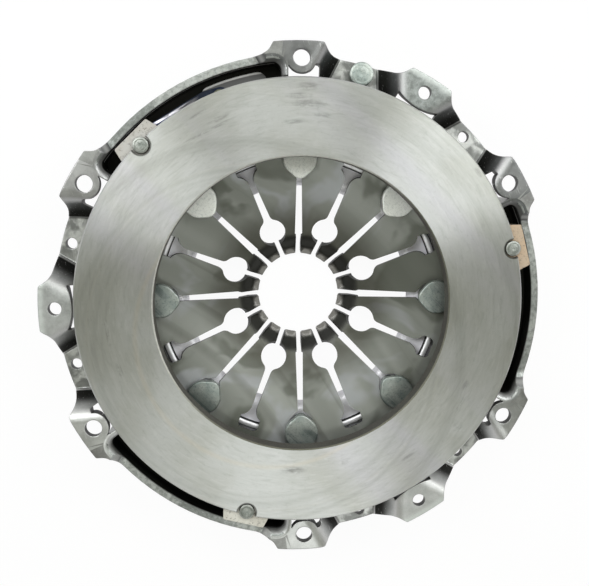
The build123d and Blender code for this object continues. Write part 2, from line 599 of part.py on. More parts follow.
def pocket_channel():
    """Strap pocket centred on +Y: floor, wall, rolled ends and the lug tops beside it."""
    plan = sector(POCKET_ROOT_R, LUG_OUTER_R + OVER, -LUG_STEP, LUG_STEP)
    block = prism(plan, POCKET_Z - SHEET, 0) - prism(pocket_plan(0), POCKET_Z, ABOVE)
    mouth = []
    for edge in block.edges():
        centre = edge.center()
        radius, angle = hypot(centre.X, centre.Y), abs(degrees(atan2(centre.X, centre.Y)))
        inside = POCKET_ROOT_R + OVER < radius < POCKET_OUTER_R + TOUCH
        if inside and abs(centre.Z) < TOUCH and angle < POCKET_HALF_ANGLE + TOUCH:
            mouth.append(edge)
    block = fillet(mouth, POCKET_LIP_R)
    outside = sector(SKIRT_R, LUG_OUTER_R + 2 * OVER, -LUG_STEP - OVER, LUG_STEP + OVER) - pocket_plan(SHEET)
    block -= prism(outside, BELOW, -SHEET)
    low, high = RIM_LOW_HALF_WIDTH, RIM_LOW_HALF_WIDTH + RIM_SLOPE_RUN
    points = [(-high, OVER), (-low, RIM_TOP_Z), (low, RIM_TOP_Z), (high, OVER)]
    trim = polygon(points, [0, RIM_SLOPE_R, RIM_SLOPE_R, 0])
    return block - extrude(Plane.XZ * trim, -FAR)


def pad_plan(inner, outer, angles, corner_r):
    """Plan of the pad or of its recess, in a pocket centred on +Y."""
    plan = sector(inner, outer, -angles[1], -angles[0])
    corners = [v for v in plan.vertices() if abs(hypot(v.X, v.Y) - outer) < TOUCH]
    return fillet(corners, corner_r)


def strap_pad():
    """Raised pad that the strap is riveted to, in a pocket centred on +Y."""
    return prism(pad_plan(WALL_TOP_R, PAD_OUTER_R, PAD_ANGLES, PAD_CORNER_R), SHELF_BACK_Z, SHELF_Z)


def pad_recess():
    """Hollow under the pad, where the sheet was pressed up."""
    plan = pad_plan(RECESS_R[0], RECESS_R[1], RECESS_ANGLES, PAD_CORNER_R - PAD_WALL)
    return prism(plan, POCKET_Z - SHEET - OVER, SHELF_BACK_Z)


def cover_third():
    """Everything that stands above the dish on one third of the cover; its dowel lug is on +Y."""
    bolt = bolt_lug()
    third = dowel_lug() + turned(bolt, LUG_STEP) + turned(mirror(bolt, Plane.YZ), -LUG_STEP)
    third += turned(pocket_channel() + strap_pad() - pad_recess(), 2 * LUG_STEP)
    third &= prism(cover_outline(), BELOW, ABOVE)
    return third - cylinder(LUG_INNER_R, SHELF_Z, ABOVE)


def cover_openings():
    """What one third loses under its lugs and pocket."""
    right = bolt_opening()
    plan = dowel_opening() + turned(right, LUG_STEP) + turned(mirror(right, Plane.YZ), -LUG_STEP)
    pocket = prism(pocket_plan(0), POCKET_Z, ABOVE)
    return prism(plan, SHELF_BACK_Z - OVER, ABOVE) + turned(pocket, 2 * LUG_STEP)


def cover_notches():
    """Relief notches at the inner edges of the three lugs of one third."""
    notch = bolt_notches()
    plan = dowel_notches() + turned(notch, LUG_STEP) + turned(mirror(notch, Plane.YZ), -LUG_STEP)
    return prism(plan, SHELF_BACK_Z - OVER, ABOVE)


def cover():
    """Pressed steel cover."""
    third, openings, notches = cover_third(), cover_openings(), cover_notches()
    body = cover_dish()
    for angle in THIRDS:
        body -= turned(openings, angle)
    for angle in THIRDS:
        body += turned(third, angle)
    for angle in THIRDS:
        body -= turned(notches, angle)
    return turned(body, DOWEL_ANGLE - 90) - cover_holes()


def dowel_angles():
    """Turns from +Y to the three dowel lugs."""
    return [DOWEL_ANGLE - 90 + angle for angle in THIRDS]


def cover_holes():
    """Every round hole in the cover."""
    holes = []
    for angle in dowel_angles():
        holes.append(turned(cylinder(DOWEL_HOLE_R, -SHEET - OVER, OVER, 0, BOLT_PITCH_R), angle))
        for side in (-1, 1):
            bolt = cylinder(BOLT_HOLE_R, -SHEET - OVER, OVER, 0, BOLT_PITCH_R)
            holes.append(turned(bolt, angle + side * LUG_STEP))
            balance = cylinder(BALANCE_HOLE_R, SHELF_BACK_Z - OVER, SHELF_Z + OVER, 0, BALANCE_PITCH_R)
            holes.append(turned(balance, angle + side * BALANCE_OFFSET))
    for angle in strap_angles():
        rivet = cylinder(STRAP_SHANK_R + HOLE_GAP, BELOW, SHELF_Z + OVER, 0, STRAP_PITCH_R)
        holes.append(turned(rivet, angle - STRAP_SPAN))
        holes.append(turned(cylinder(ACCESS_HOLE_R, BELOW, POCKET_Z + OVER, 0, STRAP_PITCH_R), angle))
    spacer = cylinder(TAIL_R + HOLE_GAP, COVER_BACK_Z - OVER, FLANGE_Z + OVER, 0, SPACER_PITCH_R)
    holes += [turned(spacer, i * 360 / SPACER_COUNT) for i in range(SPACER_COUNT)]
    return holes


# ================================================================ drive straps and small rivets
def strap_angles():
    """Turns from +Y to the three plate ears."""
    return [EAR_ANGLE - 90 + i * 360 / EAR_COUNT for i in range(EAR_COUNT)]


def strap_plan():
    """Plan of a leaf along X: straight sides that close in to a rounded end about each rivet."""
    end = STRAP_LENGTH / 2
    plan = Rectangle(STRAP_LENGTH - 2 * STRAP_TAPER, STRAP_WIDTH)
    for x in (-end, end):
        plan += Pos(x, 0) * Circle(STRAP_END_R)
    return make_hull(plan.edges())


def strap_leaf(level):
    """One leaf of a strap pack, counted from the bottom; its length runs along -X from the ear.

    The pack is centred on +Y, with the plate rivet at the -X end."""
    low = SHELF_Z + level * STRAP_THICK
    high = EAR_BACK_Z - PACK_THICK + level * STRAP_THICK
    reach = STRAP_LENGTH / 2 + STRAP_END_R
    bend = STRAP_LENGTH / 2 - STRAP_FLAT
    middle = [(reach, low), (bend, low), (-bend, high), (-reach, high)]
    lower = FilletPolyline(*middle, radius=STRAP_BEND_R)
    upper = Pos(0, STRAP_THICK) * lower
    low_end = Line((reach, low), (reach, low + STRAP_THICK))
    high_end = Line((-reach, high), (-reach, high + STRAP_THICK))
    side = make_face(Wire(edges_of([lower, upper, low_end, high_end])))
    leaf = Pos(0, STRAP_MID_R + STRAP_WIDTH / 2, 0) * extrude(Plane.XZ * side, STRAP_WIDTH)
    leaf &= Pos(0, STRAP_MID_R, 0) * prism(strap_plan(), BELOW, ABOVE)
    for x in (-STRAP_LENGTH / 2, STRAP_LENGTH / 2):
        leaf -= cylinder(STRAP_SHANK_R + MOVING_GAP, BELOW, ABOVE, x, STRAP_MID_R)
    return leaf


def strap_rivet(head_z, closing_z):
    """Rivet on the +Y axis: head standing on head_z, closing head hanging from closing_z."""
    head = button_head(STRAP_HEAD_R, STRAP_HEAD_HEIGHT, STRAP_HEAD_EDGE_R)
    head = Pos(0, STRAP_PITCH_R, head_z) * head
    shank = cylinder(STRAP_SHANK_R, closing_z, head_z, 0, STRAP_PITCH_R)
    closing = button_head(STRAP_CLOSING_R, STRAP_CLOSING_HEIGHT, STRAP_CLOSING_EDGE_R)
    return head + shank + Pos(0, STRAP_PITCH_R, closing_z) * Rot(180, 0, 0) * closing


def balance_rivet():
    """Rivet that fills the balance hole beside the first dowel lug."""
    head = button_head(BALANCE_HEAD_R, BALANCE_HEAD_HEIGHT, BALANCE_HEAD_EDGE_R)
    shank = cylinder(BALANCE_HOLE_R - HOLE_GAP, SHELF_BACK_Z, SHELF_Z)
    closing = Rot(180, 0, 0) * button_head(BALANCE_CLOSING_R, BALANCE_CLOSING_HEIGHT, BALANCE_CLOSING_EDGE_R)
    rivet = Pos(0, 0, SHELF_Z) * head + shank + Pos(0, 0, SHELF_BACK_Z) * closing
    return turned(Pos(0, BALANCE_PITCH_R, 0) * rivet, dowel_angles()[0] + BALANCE_OFFSET)


def build():
    """All nodes by name."""
    nodes = {
        "cover": cover(),
        "pressure_plate": pressure_plate(),
        "diaphragm_spring": diaphragm_spring(),
        "fulcrum_ring": fulcrum_ring(),
        "balance_rivet": balance_rivet(),
    }
    spacer = spacer_rivet()
    for i in range(SPACER_COUNT):
        nodes[f"spacer_rivet_{i + 1}"] = turned(spacer, i * 360 / SPACER_COUNT)
    plate_rivet = strap_rivet(EAR_TOP_Z, EAR_BACK_Z - PACK_THICK)
    cover_rivet = strap_rivet(SHELF_Z + PACK_THICK, SHELF_BACK_Z)
    leaves = [strap_leaf(level) for level in range(STRAP_LEAVES)]
    for i, angle in enumerate(strap_angles()):
        nodes[f"plate_strap_rivet_{i + 1}"] = turned(plate_rivet, angle)
        nodes[f"cover_strap_rivet_{i + 1}"] = turned(cover_rivet, angle - STRAP_SPAN)
        for level, leaf in enumerate(leaves):
            nodes[f"strap_{i + 1}_leaf_{level + 1}"] = turned(leaf, angle - STRAP_SPAN / 2)
    return nodes


os.makedirs("parts", exist_ok=True)
for name, solid in build().items():
    export_step(solid, f"parts/{name}.step")
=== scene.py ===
# %% [markdown]
# # A clutch pressure plate
# The solids come from the packed frame: a pressed steel cover, a cast iron ring, a slotted spring
# and the rivets that hold them together. This script puts a fine skin on them. It works in metres,
# in the frame's own axes: +Z points at the flywheel and z = 0 is the face of the bolt lugs.

import math

import bmesh
import bpy
from mathutils import Matrix, Vector, geometry


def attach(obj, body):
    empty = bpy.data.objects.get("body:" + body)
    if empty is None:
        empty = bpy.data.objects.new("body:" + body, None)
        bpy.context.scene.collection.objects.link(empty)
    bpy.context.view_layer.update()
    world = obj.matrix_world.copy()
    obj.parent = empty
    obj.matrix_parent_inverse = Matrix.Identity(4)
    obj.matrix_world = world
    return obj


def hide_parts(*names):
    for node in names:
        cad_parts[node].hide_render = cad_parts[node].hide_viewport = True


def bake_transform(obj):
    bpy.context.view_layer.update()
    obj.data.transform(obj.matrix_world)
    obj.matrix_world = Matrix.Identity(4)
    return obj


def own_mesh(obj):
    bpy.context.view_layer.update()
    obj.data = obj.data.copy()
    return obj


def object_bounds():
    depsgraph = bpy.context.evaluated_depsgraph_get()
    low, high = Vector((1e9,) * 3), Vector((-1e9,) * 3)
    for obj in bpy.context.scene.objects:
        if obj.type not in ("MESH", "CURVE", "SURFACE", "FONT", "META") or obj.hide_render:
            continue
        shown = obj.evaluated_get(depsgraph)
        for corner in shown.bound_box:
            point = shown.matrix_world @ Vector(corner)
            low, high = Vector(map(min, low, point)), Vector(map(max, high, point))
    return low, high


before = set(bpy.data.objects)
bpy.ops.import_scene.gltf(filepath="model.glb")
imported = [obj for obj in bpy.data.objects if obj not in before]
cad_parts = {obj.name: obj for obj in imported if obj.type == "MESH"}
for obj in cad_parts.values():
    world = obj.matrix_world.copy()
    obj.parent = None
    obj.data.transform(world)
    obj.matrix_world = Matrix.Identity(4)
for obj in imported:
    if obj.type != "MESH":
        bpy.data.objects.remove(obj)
cad_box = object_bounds()
MM = 0.001

# %% [markdown]
# ## Shared places
# Pieces and finishes share some places, so these are named once, in millimetres and degrees: the
# strap rivets in the plate's ears, the wire ring that the spring tips on, the recessed flats of
# the cover and the wall of its strap pockets.

# %% Shared places
STRAP_R, EAR_ANGLE = 118.5, 14.5
FULCRUM_R, FULCRUM_Z = 80.8, -26.8
WIRE_R, RING_Z = 2.25, -30.54
SHELF_Z, SHEET = -15.0, 4.0
WALL_IN_R, WALL_OUT_R = 129.1, 133.1
ear_angles = [EAR_ANGLE + 120 * i for i in range(3)]
print("ears at", ear_angles, "degrees, wire ring", 2 * FULCRUM_R, "mm across")

# %% [markdown]
# ## Camera
# The part lies on its back and is seen almost along its axis. The camera stands 0.39 m away, a
# little to the left of the axis and towards the top of the picture. A 44 mm lens so near gives
# the strong perspective that makes the spring's cone look deep, and shifting the lens brings the
# part to the middle of the picture without turning the view.

# %% Camera
scene = bpy.context.scene
scene.view_settings.view_transform = "Standard"


def link_new(name, data):
    """A new object in the scene."""
    item = bpy.data.objects.new(name, data)
    scene.collection.objects.link(item)
    return item


camera_data = bpy.data.cameras.new("camera")
camera_data.sensor_fit = "HORIZONTAL"
camera_data.sensor_width = 36.0
camera_data.lens = 44.22
camera_data.shift_x = -0.0498
camera_data.shift_y = -0.0384
camera_data.clip_start = 0.01
camera = link_new("camera", camera_data)
tilt_x, tilt_y, roll = (math.radians(a) for a in (6.6918, 5.2085, 0.0704))
turn = Matrix.Rotation(tilt_x, 3, "X") @ Matrix.Rotation(tilt_y, 3, "Y") @ Matrix.Rotation(roll, 3, "Z")
camera_place = turn.transposed() @ Vector((11.192, 18.668, 389.553)) * MM
camera.matrix_world = Matrix.Translation(camera_place) @ turn.transposed().to_4x4()
scene.camera = camera
print("camera at", [round(v, 3) for v in camera_place])

# %% [markdown]
# ## Shader maths as plain expressions
# A finish is easier to read as `dirt * 0.3 + grain` than as a dozen linked boxes. `Board` holds a
# node tree and makes any node in it. `Signal` wraps a socket, and its operators add Math nodes.

# %% Boards and signals
class Board:
    """A node tree, with one method that makes any node in it."""

    def __init__(self, tree):
        self.tree = tree
        tree.nodes.clear()

    def node(self, kind, settings=None, inputs=None):
        """Make a node: settings first, then the values or links of its sockets."""
        node = self.tree.nodes.new(kind)
        for name, value in (settings or {}).items():
            setattr(node, name, value)
        for name, value in (inputs or {}).items():
            socket = node.inputs[name]
            if isinstance(value, Signal):
                value = value.socket
            if isinstance(value, bpy.types.NodeSocket):
                self.tree.links.new(value, socket)
            else:
                socket.default_value = value
        return node


class Signal:
    """A number or vector on its way through a node tree."""

    def __init__(self, board, socket):
        self.board = board
        self.socket = socket

    def math(self, operation, *others):
        """Any sum of the Math node that starts with this signal."""
        return self.sum_of(operation, self, *others)

    def sum_of(self, operation, *values):
        """A sum in which this signal stands anywhere, as a reflected operator needs."""
        node = self.board.node("ShaderNodeMath", {"operation": operation}, dict(enumerate(values)))
        return Signal(self.board, node.outputs[0])

    def __add__(self, other):
        return self.math("ADD", other)

    def __mul__(self, other):
        return self.math("MULTIPLY", other)

    def __sub__(self, other):
        return self.math("SUBTRACT", other)

    def __truediv__(self, other):
        return self.math("DIVIDE", other)

    def __rsub__(self, other):
        return self.sum_of("SUBTRACT", other, self)

    __radd__ = __add__
    __rmul__ = __mul__

    def clamp(self):
        node = self.board.node("ShaderNodeClamp", {}, {"Value": self})
        return Signal(self.board, node.outputs[0])

    def step(self, low, high, start=0.0, end=1.0):
        """Smooth step from start to end while the signal goes from low to high."""
        node = self.board.node("ShaderNodeMapRange", {"interpolation_type": "SMOOTHSTEP"},
                               {0: self, 1: low, 2: high, 3: start, 4: end})
        return Signal(self.board, node.outputs[0])

    def band(self, centre, half):
        """One at the centre, falling smoothly to zero at half either side."""
        return (self - centre).math("ABSOLUTE").step(half, 0.0)


print("a signal can", [name for name in vars(Signal) if name[0] != "_"])

# %% [markdown]
# ## Finishes
# A finish is a board with a Principled shader. Its colour is painted in layers. It hands out the
# place on the part in millimetres, because a scratch has a real size, and in the object's own
# coordinates, so that a pattern stays on its piece when the piece moves.

# %% Finish
class Finish(Board):
    """One procedural material, with its place signals in millimetres."""

    def __init__(self, name, **shader):
        self.material = bpy.data.materials.new(name)
        self.material.use_nodes = True
        super().__init__(self.material.node_tree)
        self.shader = self.node("ShaderNodeBsdfPrincipled", {}, shader)
        self.node("ShaderNodeOutputMaterial", {}, {"Surface": self.shader.outputs[0]})
        place = self.node("ShaderNodeTexCoord").outputs["Object"]
        scaled = self.node("ShaderNodeVectorMath", {"operation": "SCALE"}, {0: place, "Scale": 1000.0})
        self.place = Signal(self, scaled.outputs[0])
        split = self.node("ShaderNodeSeparateXYZ", {}, {0: self.place})
        self.x, self.y, self.z = (Signal(self, split.outputs[i]) for i in range(3))

    def polar(self):
        """Distance from the clutch axis, and the direction as cosine and sine."""
        radius = (self.x * self.x + self.y * self.y).math("SQRT")
        return radius, self.x / radius, self.y / radius

    def attribute(self, name):
        """A number stored on the mesh."""
        node = self.node("ShaderNodeAttribute", {"attribute_name": name})
        return Signal(self, node.outputs["Fac"])

    def vector(self, x, y, z):
        node = self.node("ShaderNodeCombineXYZ", {}, {0: x, 1: y, 2: z})
        return Signal(self, node.outputs[0])

    def slant(self, offset):
        """A number that grows along the diagonal, for noise that lies in faint slanting bands."""
        return (self.x + self.y + self.z) / 3.0 + offset

    def noise(self, scale, detail, roughness, distortion=0.0, place=None):
        """Noise over the piece, or over a place of its own."""
        node = self.node("ShaderNodeTexNoise", {"noise_dimensions": "3D"}, {
            "Vector": place or self.place, "Scale": scale, "Detail": detail, "Roughness": roughness,
            "Distortion": distortion})
        return Signal(self, node.outputs["Fac"])

    def mix(self, factor, first, second):
        """Mix two colours, given as signals or as plain (r, g, b)."""
        colours = [c if isinstance(c, Signal) else (*c, 1.0) for c in (first, second)]
        node = self.node("ShaderNodeMix", {"data_type": "RGBA"}, {0: factor, 6: colours[0], 7: colours[1]})
        return Signal(self, node.outputs[2])

    def set(self, **sockets):
        """Link signals to sockets of the shader, such as base_color or roughness."""
        for name, signal in sockets.items():
            self.tree.links.new(signal.socket, self.shader.inputs[name.replace("_", " ").title()])

    def base(self, factor, first, second):
        """Start the finish with a mix of two colours."""
        self.colour = self.mix(factor, first, second)
        self.set(base_color=self.colour)

    def layer(self, factor, colour):
        """Paint a colour over the ones before it, where the factor is one."""
        self.base(factor, self.colour, colour)

    def bump(self, height, depth_mm, rounding_mm=0.0):
        """Relief of a given depth, over edges that look rounded off by rounding_mm."""
        inputs = {"Height": height, "Strength": 1.0, "Distance": depth_mm * MM}
        if rounding_mm:
            edge = self.node("ShaderNodeBevel", {"samples": 6}, {"Radius": rounding_mm * MM})
            inputs["Normal"] = edge.outputs[0]
        node = self.node("ShaderNodeBump", {}, inputs)
        self.set(normal=Signal(self, node.outputs[0]))


print("a finish can", [name for name in vars(Finish) if name[0] != "_"])

# %% [markdown]
# ## Ground cast iron
# The friction face is ground on a turntable, so fine circles cover it. Each scratch scatters
# light across itself, and together they show a lamp as a bright fan. Anisotropy gives the fans,
# and noise stretched along the circles gives the lines. Smudges and stains come from oil.

# %% Smudges
SMUDGES = (  # azimuth in degrees, distance from the axis, half length, half width
    (88.6, 115, 5, 2.2), (91, 110, 7, 1.6), (88, 106, 9, 2.4), (93, 97, 6, 1.2), (118, 113.5, 5, 1.0),
    (117, 104, 15, 0.8), (114, 107, 6, 1.2), (84, 101, 5, 1.4), (187, 103.5, 8, 1.0), (199, 102.5, 5, 1.4),
    (266, 91, 7, 2.2), (285, 90, 3, 1.6), (304, 103, 4, 1.0), (328, 103.5, 7, 1.0), (333, 100.5, 3, 1.6),
    (321, 110, 3, 3.0), (37, 117.5, 3, 1.2))
# A painted shadow, standing for a chamfer round each strap rivet, fades in between these radii.
CHAMFER_SHADOW_RADII = (6.0, 5.3)  # the dark seam round a strap rivet fades in between these radii


def smudge_mask(iron):
    """One on the smudges, each an ellipse that lies along the circles."""
    mask = None
    for azimuth, reach, length, width in SMUDGES:
        a = math.radians(azimuth)
        u = (iron.x * math.cos(a) + iron.y * math.sin(a) - reach) / width
        v = (iron.y * math.cos(a) - iron.x * math.sin(a)) / length
        spot = (u * u + v * v).step(1.6, 0.1)
        mask = spot if mask is None else mask.math("MAXIMUM", spot)
    return mask


print("smudges:", len(SMUDGES))

# %% Friction face
def ground_iron():
    iron = Finish("ground_iron", **{"Metallic": 1.0, "Anisotropic": 0.88, "Anisotropic Rotation": 0.25})
    radius, cosine, sine = iron.polar()
    lines = iron.noise(1.0, 3.0, 0.6, place=iron.vector(radius * 2.6, cosine * 3.0, sine * 3.0))
    stroke = iron.noise(1.0, 4.0, 0.62, 0.9, place=iron.vector(radius * 0.55, cosine * 9.0, sine * 9.0))
    broad = iron.noise(1.0, 3.0, 0.6, 0.8, place=(radius * 0.16 + cosine * 4.0 + sine * 4.0) / 3.0 + 40.0)
    speck = iron.noise(0.55, 4.0, 0.65)
    cloud = iron.noise(0.022, 3.0, 0.55)
    lilac = iron.noise(0.03, 2.0, 0.5, place=iron.slant(700.0))
    warm = iron.noise(1.0, 2.0, 0.5, place=(radius * 0.15 + cosine * 3.0 + sine * 3.0) / 3.0 + 90.0)
    iron.base(cloud.step(0.38, 0.64), (0.485, 0.495, 0.485), (0.415, 0.42, 0.395))
    iron.layer(lilac.step(0.50, 0.66) * 0.6, (0.48, 0.465, 0.53))
    iron.layer(warm.step(0.58, 0.72) * 0.4, (0.56, 0.50, 0.395))
    iron.layer(stroke.step(0.50, 0.30) * 0.25, (0.60, 0.61, 0.60))
    iron.layer(stroke.step(0.50, 0.72) * 0.28, (0.27, 0.275, 0.255))
    iron.layer(broad.step(0.50, 0.72) * 0.35, (0.25, 0.255, 0.235))
    iron.layer(speck.step(0.52, 0.80) * 0.25, (0.26, 0.26, 0.24))
    # Painted shadow of a chamfer round each strap rivet, nearly black.
    for angle in ear_angles:
        u = iron.x - STRAP_R * math.cos(math.radians(angle))
        v = iron.y - STRAP_R * math.sin(math.radians(angle))
        chamfer_shadow = (u * u + v * v).math("SQRT").step(*CHAMFER_SHADOW_RADII)
        iron.layer(chamfer_shadow * 0.85, (0.05, 0.05, 0.045))
    smudge = smudge_mask(iron) * (stroke * 0.7 + speck * 0.3).step(0.36, 0.62)
    iron.layer(smudge * 0.32, (0.11, 0.11, 0.10))
    iron.set(roughness=0.31 + lines * 0.08 + smudge * 0.10)
    iron.bump(lines, 0.006)
    return iron.material


GROUND = ground_iron()
print("friction face:", GROUND.name)

# %% [markdown]
# ## Cast iron
# Away from the grinding wheel the plate keeps the sandy skin of its mould. The tops of the ears
# are milled through it, so they are paler, speckled, and brown where oil has dried. The broken
# edge of the bore gets a painted highlight on one side and painted shade on the other.

# %% Cast finishes
def cast_iron():
    iron = Finish("cast_iron", Metallic=1.0)
    grain = iron.noise(0.9, 4.0, 0.6)
    cloud = iron.noise(0.05, 3.0, 0.5)
    iron.base(cloud, (0.13, 0.125, 0.11), (0.21, 0.20, 0.18))
    iron.layer(grain.step(0.5, 0.8) * 0.4, (0.07, 0.065, 0.06))
    iron.set(roughness=0.5 + grain * 0.2)
    iron.bump(grain, 0.12, 0.5)
    return iron.material


def ear_iron():
    iron = Finish("ear_iron", Metallic=0.3)
    grain = iron.noise(0.65, 5.0, 0.8)
    cloud = iron.noise(0.12, 3.0, 0.55)
    iron.base(iron.x.step(60.0, 100.0), (0.47, 0.46, 0.44), (0.50, 0.375, 0.265))
    iron.layer(iron.y.step(-60.0, -100.0), (0.66, 0.645, 0.59))
    iron.layer(cloud.step(0.40, 0.65) * 0.3, (0.40, 0.36, 0.30))
    iron.layer(grain.step(0.53, 0.66) * 0.8, (0.14, 0.13, 0.11))
    iron.set(roughness=0.55 + grain * 0.15)
    iron.bump(grain, 0.06, 0.4)
    return iron.material


def bore_edge_light_and_shade():
    edge = Finish("bore_edge_light_and_shade", Metallic=0.7)
    grain = edge.noise(0.6, 3.0, 0.6)
    # Painted highlight on the side towards +Y and -X, painted shade on the other side.
    bright = edge.mix(grain, (0.42, 0.42, 0.38), (0.72, 0.72, 0.68))
    shaded_side = edge.mix(grain, (0.10, 0.10, 0.075), (0.20, 0.20, 0.16))
    edge.base((edge.y - edge.x).step(-20.0, 60.0), shaded_side, bright)
    edge.set(roughness=0.45 + grain * 0.2)
    return edge.material


CAST, EAR, BORE_EDGE_LIGHT = cast_iron(), ear_iron(), bore_edge_light_and_shade()
print("cast finishes:", CAST.name, EAR.name, BORE_EDGE_LIGHT.name)

# %% [markdown]
# ## Pressed steel
# The cover is pressed from hot rolled sheet that keeps a thin oily scale. Its colour carries
# painted light along the folds: the flats are painted lighter towards -Y and on the lug near 150
# degrees, the bends into the ramps get a painted highlight, and the ramps and strap pockets get
# painted shade, nearly black. Thin painted highlights run along the feet of the ramps, the pad
# edges and the pocket walls, and the spring seat is painted near white. Masks for these places
# come from height, distance and direction, and a wave with three lobes tells the pockets from the
# lugs between them.

# %% Pressed steel
# The bright bend is a painted highlight.
POCKET_HIGHLIGHT_DROP = 1.4  # how much lower the bright bend lies in a pocket


def pressed_steel():
    steel = Finish("pressed_steel", Metallic=1.0)
    x, y, z = steel.x, steel.y, steel.z
    radius, cosine = steel.polar()[:2]
    sector = cosine * cosine * cosine * 4.0 - cosine * 3.0
    pocket = sector.step(0.18, 0.28)
    mottle = steel.noise(0.10, 4.0, 0.6)
    blotch = steel.noise(0.34, 5.0, 0.72, 0.3)
    grain = steel.noise(1.8, 3.0, 0.6)
    along = steel.vector(x * 1.6 + y * 0.5, y * 0.12 - x * 0.06, z)
    scratch = steel.noise(1.0, 2.0, 0.6, place=along)

    steel.base(mottle.step(0.35, 0.70), (0.115, 0.12, 0.12), (0.19, 0.195, 0.195))
    # Painted light: the flats get a lighter painted colour towards -Y and a little towards -X.
    lit_side = (x * -0.34 - y * 0.94).step(-60.0, 90.0)
    bright = steel.mix(mottle.step(0.3, 0.7), (0.46, 0.47, 0.46), (0.64, 0.65, 0.64))
    steel.layer(lit_side * 0.85, bright)
    dowel = sector.step(-0.80, -0.92) * z.step(-3.0, -0.5)
    worn = steel.mix(blotch.step(0.36, 0.66), (0.15, 0.17, 0.16), (0.33, 0.36, 0.345))
    steel.layer(dowel * (0.85 - lit_side * 0.72), worn)
    steel.layer(dowel * radius.step(134.5, 137.5) * (blotch + 0.2).clamp(), (0.66, 0.70, 0.68))
    # Painted light: the flat of the lug near 150 degrees gets a lighter painted colour.
    lit_lug = x.step(-88.0, -100.0) * y.step(44.0, 56.0) * z.step(-2.0, -0.4)
    lit_lug_colour = steel.mix(mottle.step(0.3, 0.7), (0.36, 0.36, 0.36), (0.52, 0.52, 0.52))
    steel.layer(lit_lug * 0.75, lit_lug_colour)

    # Painted highlight along the bends into the ramps, lower in the pockets.
    streak = steel.mix(lit_side, (0.42, 0.42, 0.42), (0.54, 0.54, 0.53))
    streak = steel.mix(pocket, streak, (0.46, 0.46, 0.45))
    steel.layer((z + pocket * POCKET_HIGHLIGHT_DROP).band(-2.0, 2.8) * 0.8, streak)
    # Painted shade: everything below the lug faces goes nearly black, the ramps above all, and the pockets
    # black below -4 mm.
    steel.layer(z.step(-3.0, -10.5), (0.028, 0.028, 0.026))
    steel.layer(pocket * z.step(-4.0, -8.0), (0.03, 0.03, 0.03))
    # Painted highlight along the foot of each ramp.
    foot_highlight = z.band(SHELF_Z + 0.9, 0.8) * (1.0 - pocket)
    steel.layer(foot_highlight * 0.9, (0.70, 0.70, 0.69))

    shelf = z.step(SHELF_Z + 0.5, SHELF_Z + 0.2) * z.step(SHELF_Z - 1.2, SHELF_Z - 0.6)
    sweep = steel.noise(0.13, 3.0, 0.5, 0.6)
    flat = steel.mix(sweep.step(0.36, 0.62), (0.20, 0.205, 0.20), (0.55, 0.56, 0.55))
    flat = steel.mix(blotch.step(0.52, 0.72) * 0.5, flat, (0.12, 0.12, 0.115))
    steel.layer(shelf * (1.0 - pocket), flat)
    steel.layer(grain.step(0.48, 0.8) * 0.22, (0.07, 0.07, 0.065))
    steel.layer(scratch.step(0.64, 0.72) * 0.45, (0.60, 0.60, 0.59))

    # Painted shade on the floor of the strap pockets, nearly black, except on the pads.
    floor = radius.step(104.0, 108.0) * radius.step(WALL_IN_R + 0.3, WALL_IN_R - 0.1)
    pocket_floor_shade = pocket * z.step(-6.0, -8.5) * floor
    pad = z.step(SHELF_Z - 0.2, SHELF_Z - 0.05) * z.step(SHELF_Z + 0.6, SHELF_Z + 0.1)
    pad = pad * radius.step(111.5, 113.0) * radius.step(126.8, 126.4)
    steel.layer(pocket_floor_shade * (1.0 - pad) * 0.95, (0.026, 0.026, 0.023))
    steel.layer(pocket * pad * 0.9, (0.17, 0.17, 0.17))
    # Painted highlight along the outer edge of each pad.
    steel.layer(pocket * pad * radius.step(125.0, 125.8) * 0.9, (0.90, 0.89, 0.89))
    # Painted highlight along the fillet at the foot of the pocket wall, on the +Y side.
    wall_fillet_highlight = radius.step(WALL_IN_R - 0.4, WALL_IN_R - 0.1)
    wall_fillet_highlight = wall_fillet_highlight * radius.step(WALL_IN_R + 0.5, WALL_IN_R + 0.2)
    wall_fillet_highlight = wall_fillet_highlight * pocket * y.step(20.0, 60.0) * z.band(-10.2, 0.8)
    steel.layer(wall_fillet_highlight, (0.85, 0.84, 0.85))
    # Painted light: the spring seat below -30 mm is painted near white and made less metallic.
    seat_painted_light = z.step(-30.0, -32.0)
    steel.layer(seat_painted_light, (0.93, 0.92, 0.97))

    roughness = 0.30 + mottle * 0.10 + grain * 0.05 + dowel * blotch * 0.25 + seat_painted_light * 0.1
    roughness = roughness + pocket * z.step(0.3, -1.5) * 0.3
    steel.set(roughness=roughness, metallic=1.0 - seat_painted_light * 0.65 - wall_fillet_highlight * 0.9)
    steel.bump(mottle * 0.5 + grain * 0.25, 0.05, 0.9)
    return steel.material


PRESSED = pressed_steel()
print("pressed steel has", len(PRESSED.node_tree.nodes), "nodes")

# %% [markdown]
# ## Back and cut edges of the cover
# The back keeps an even grey with marks of the draw. A cut edge has a smooth burnished band and
# a torn band, and the walls of the punched holes get painted shade, nearly black.

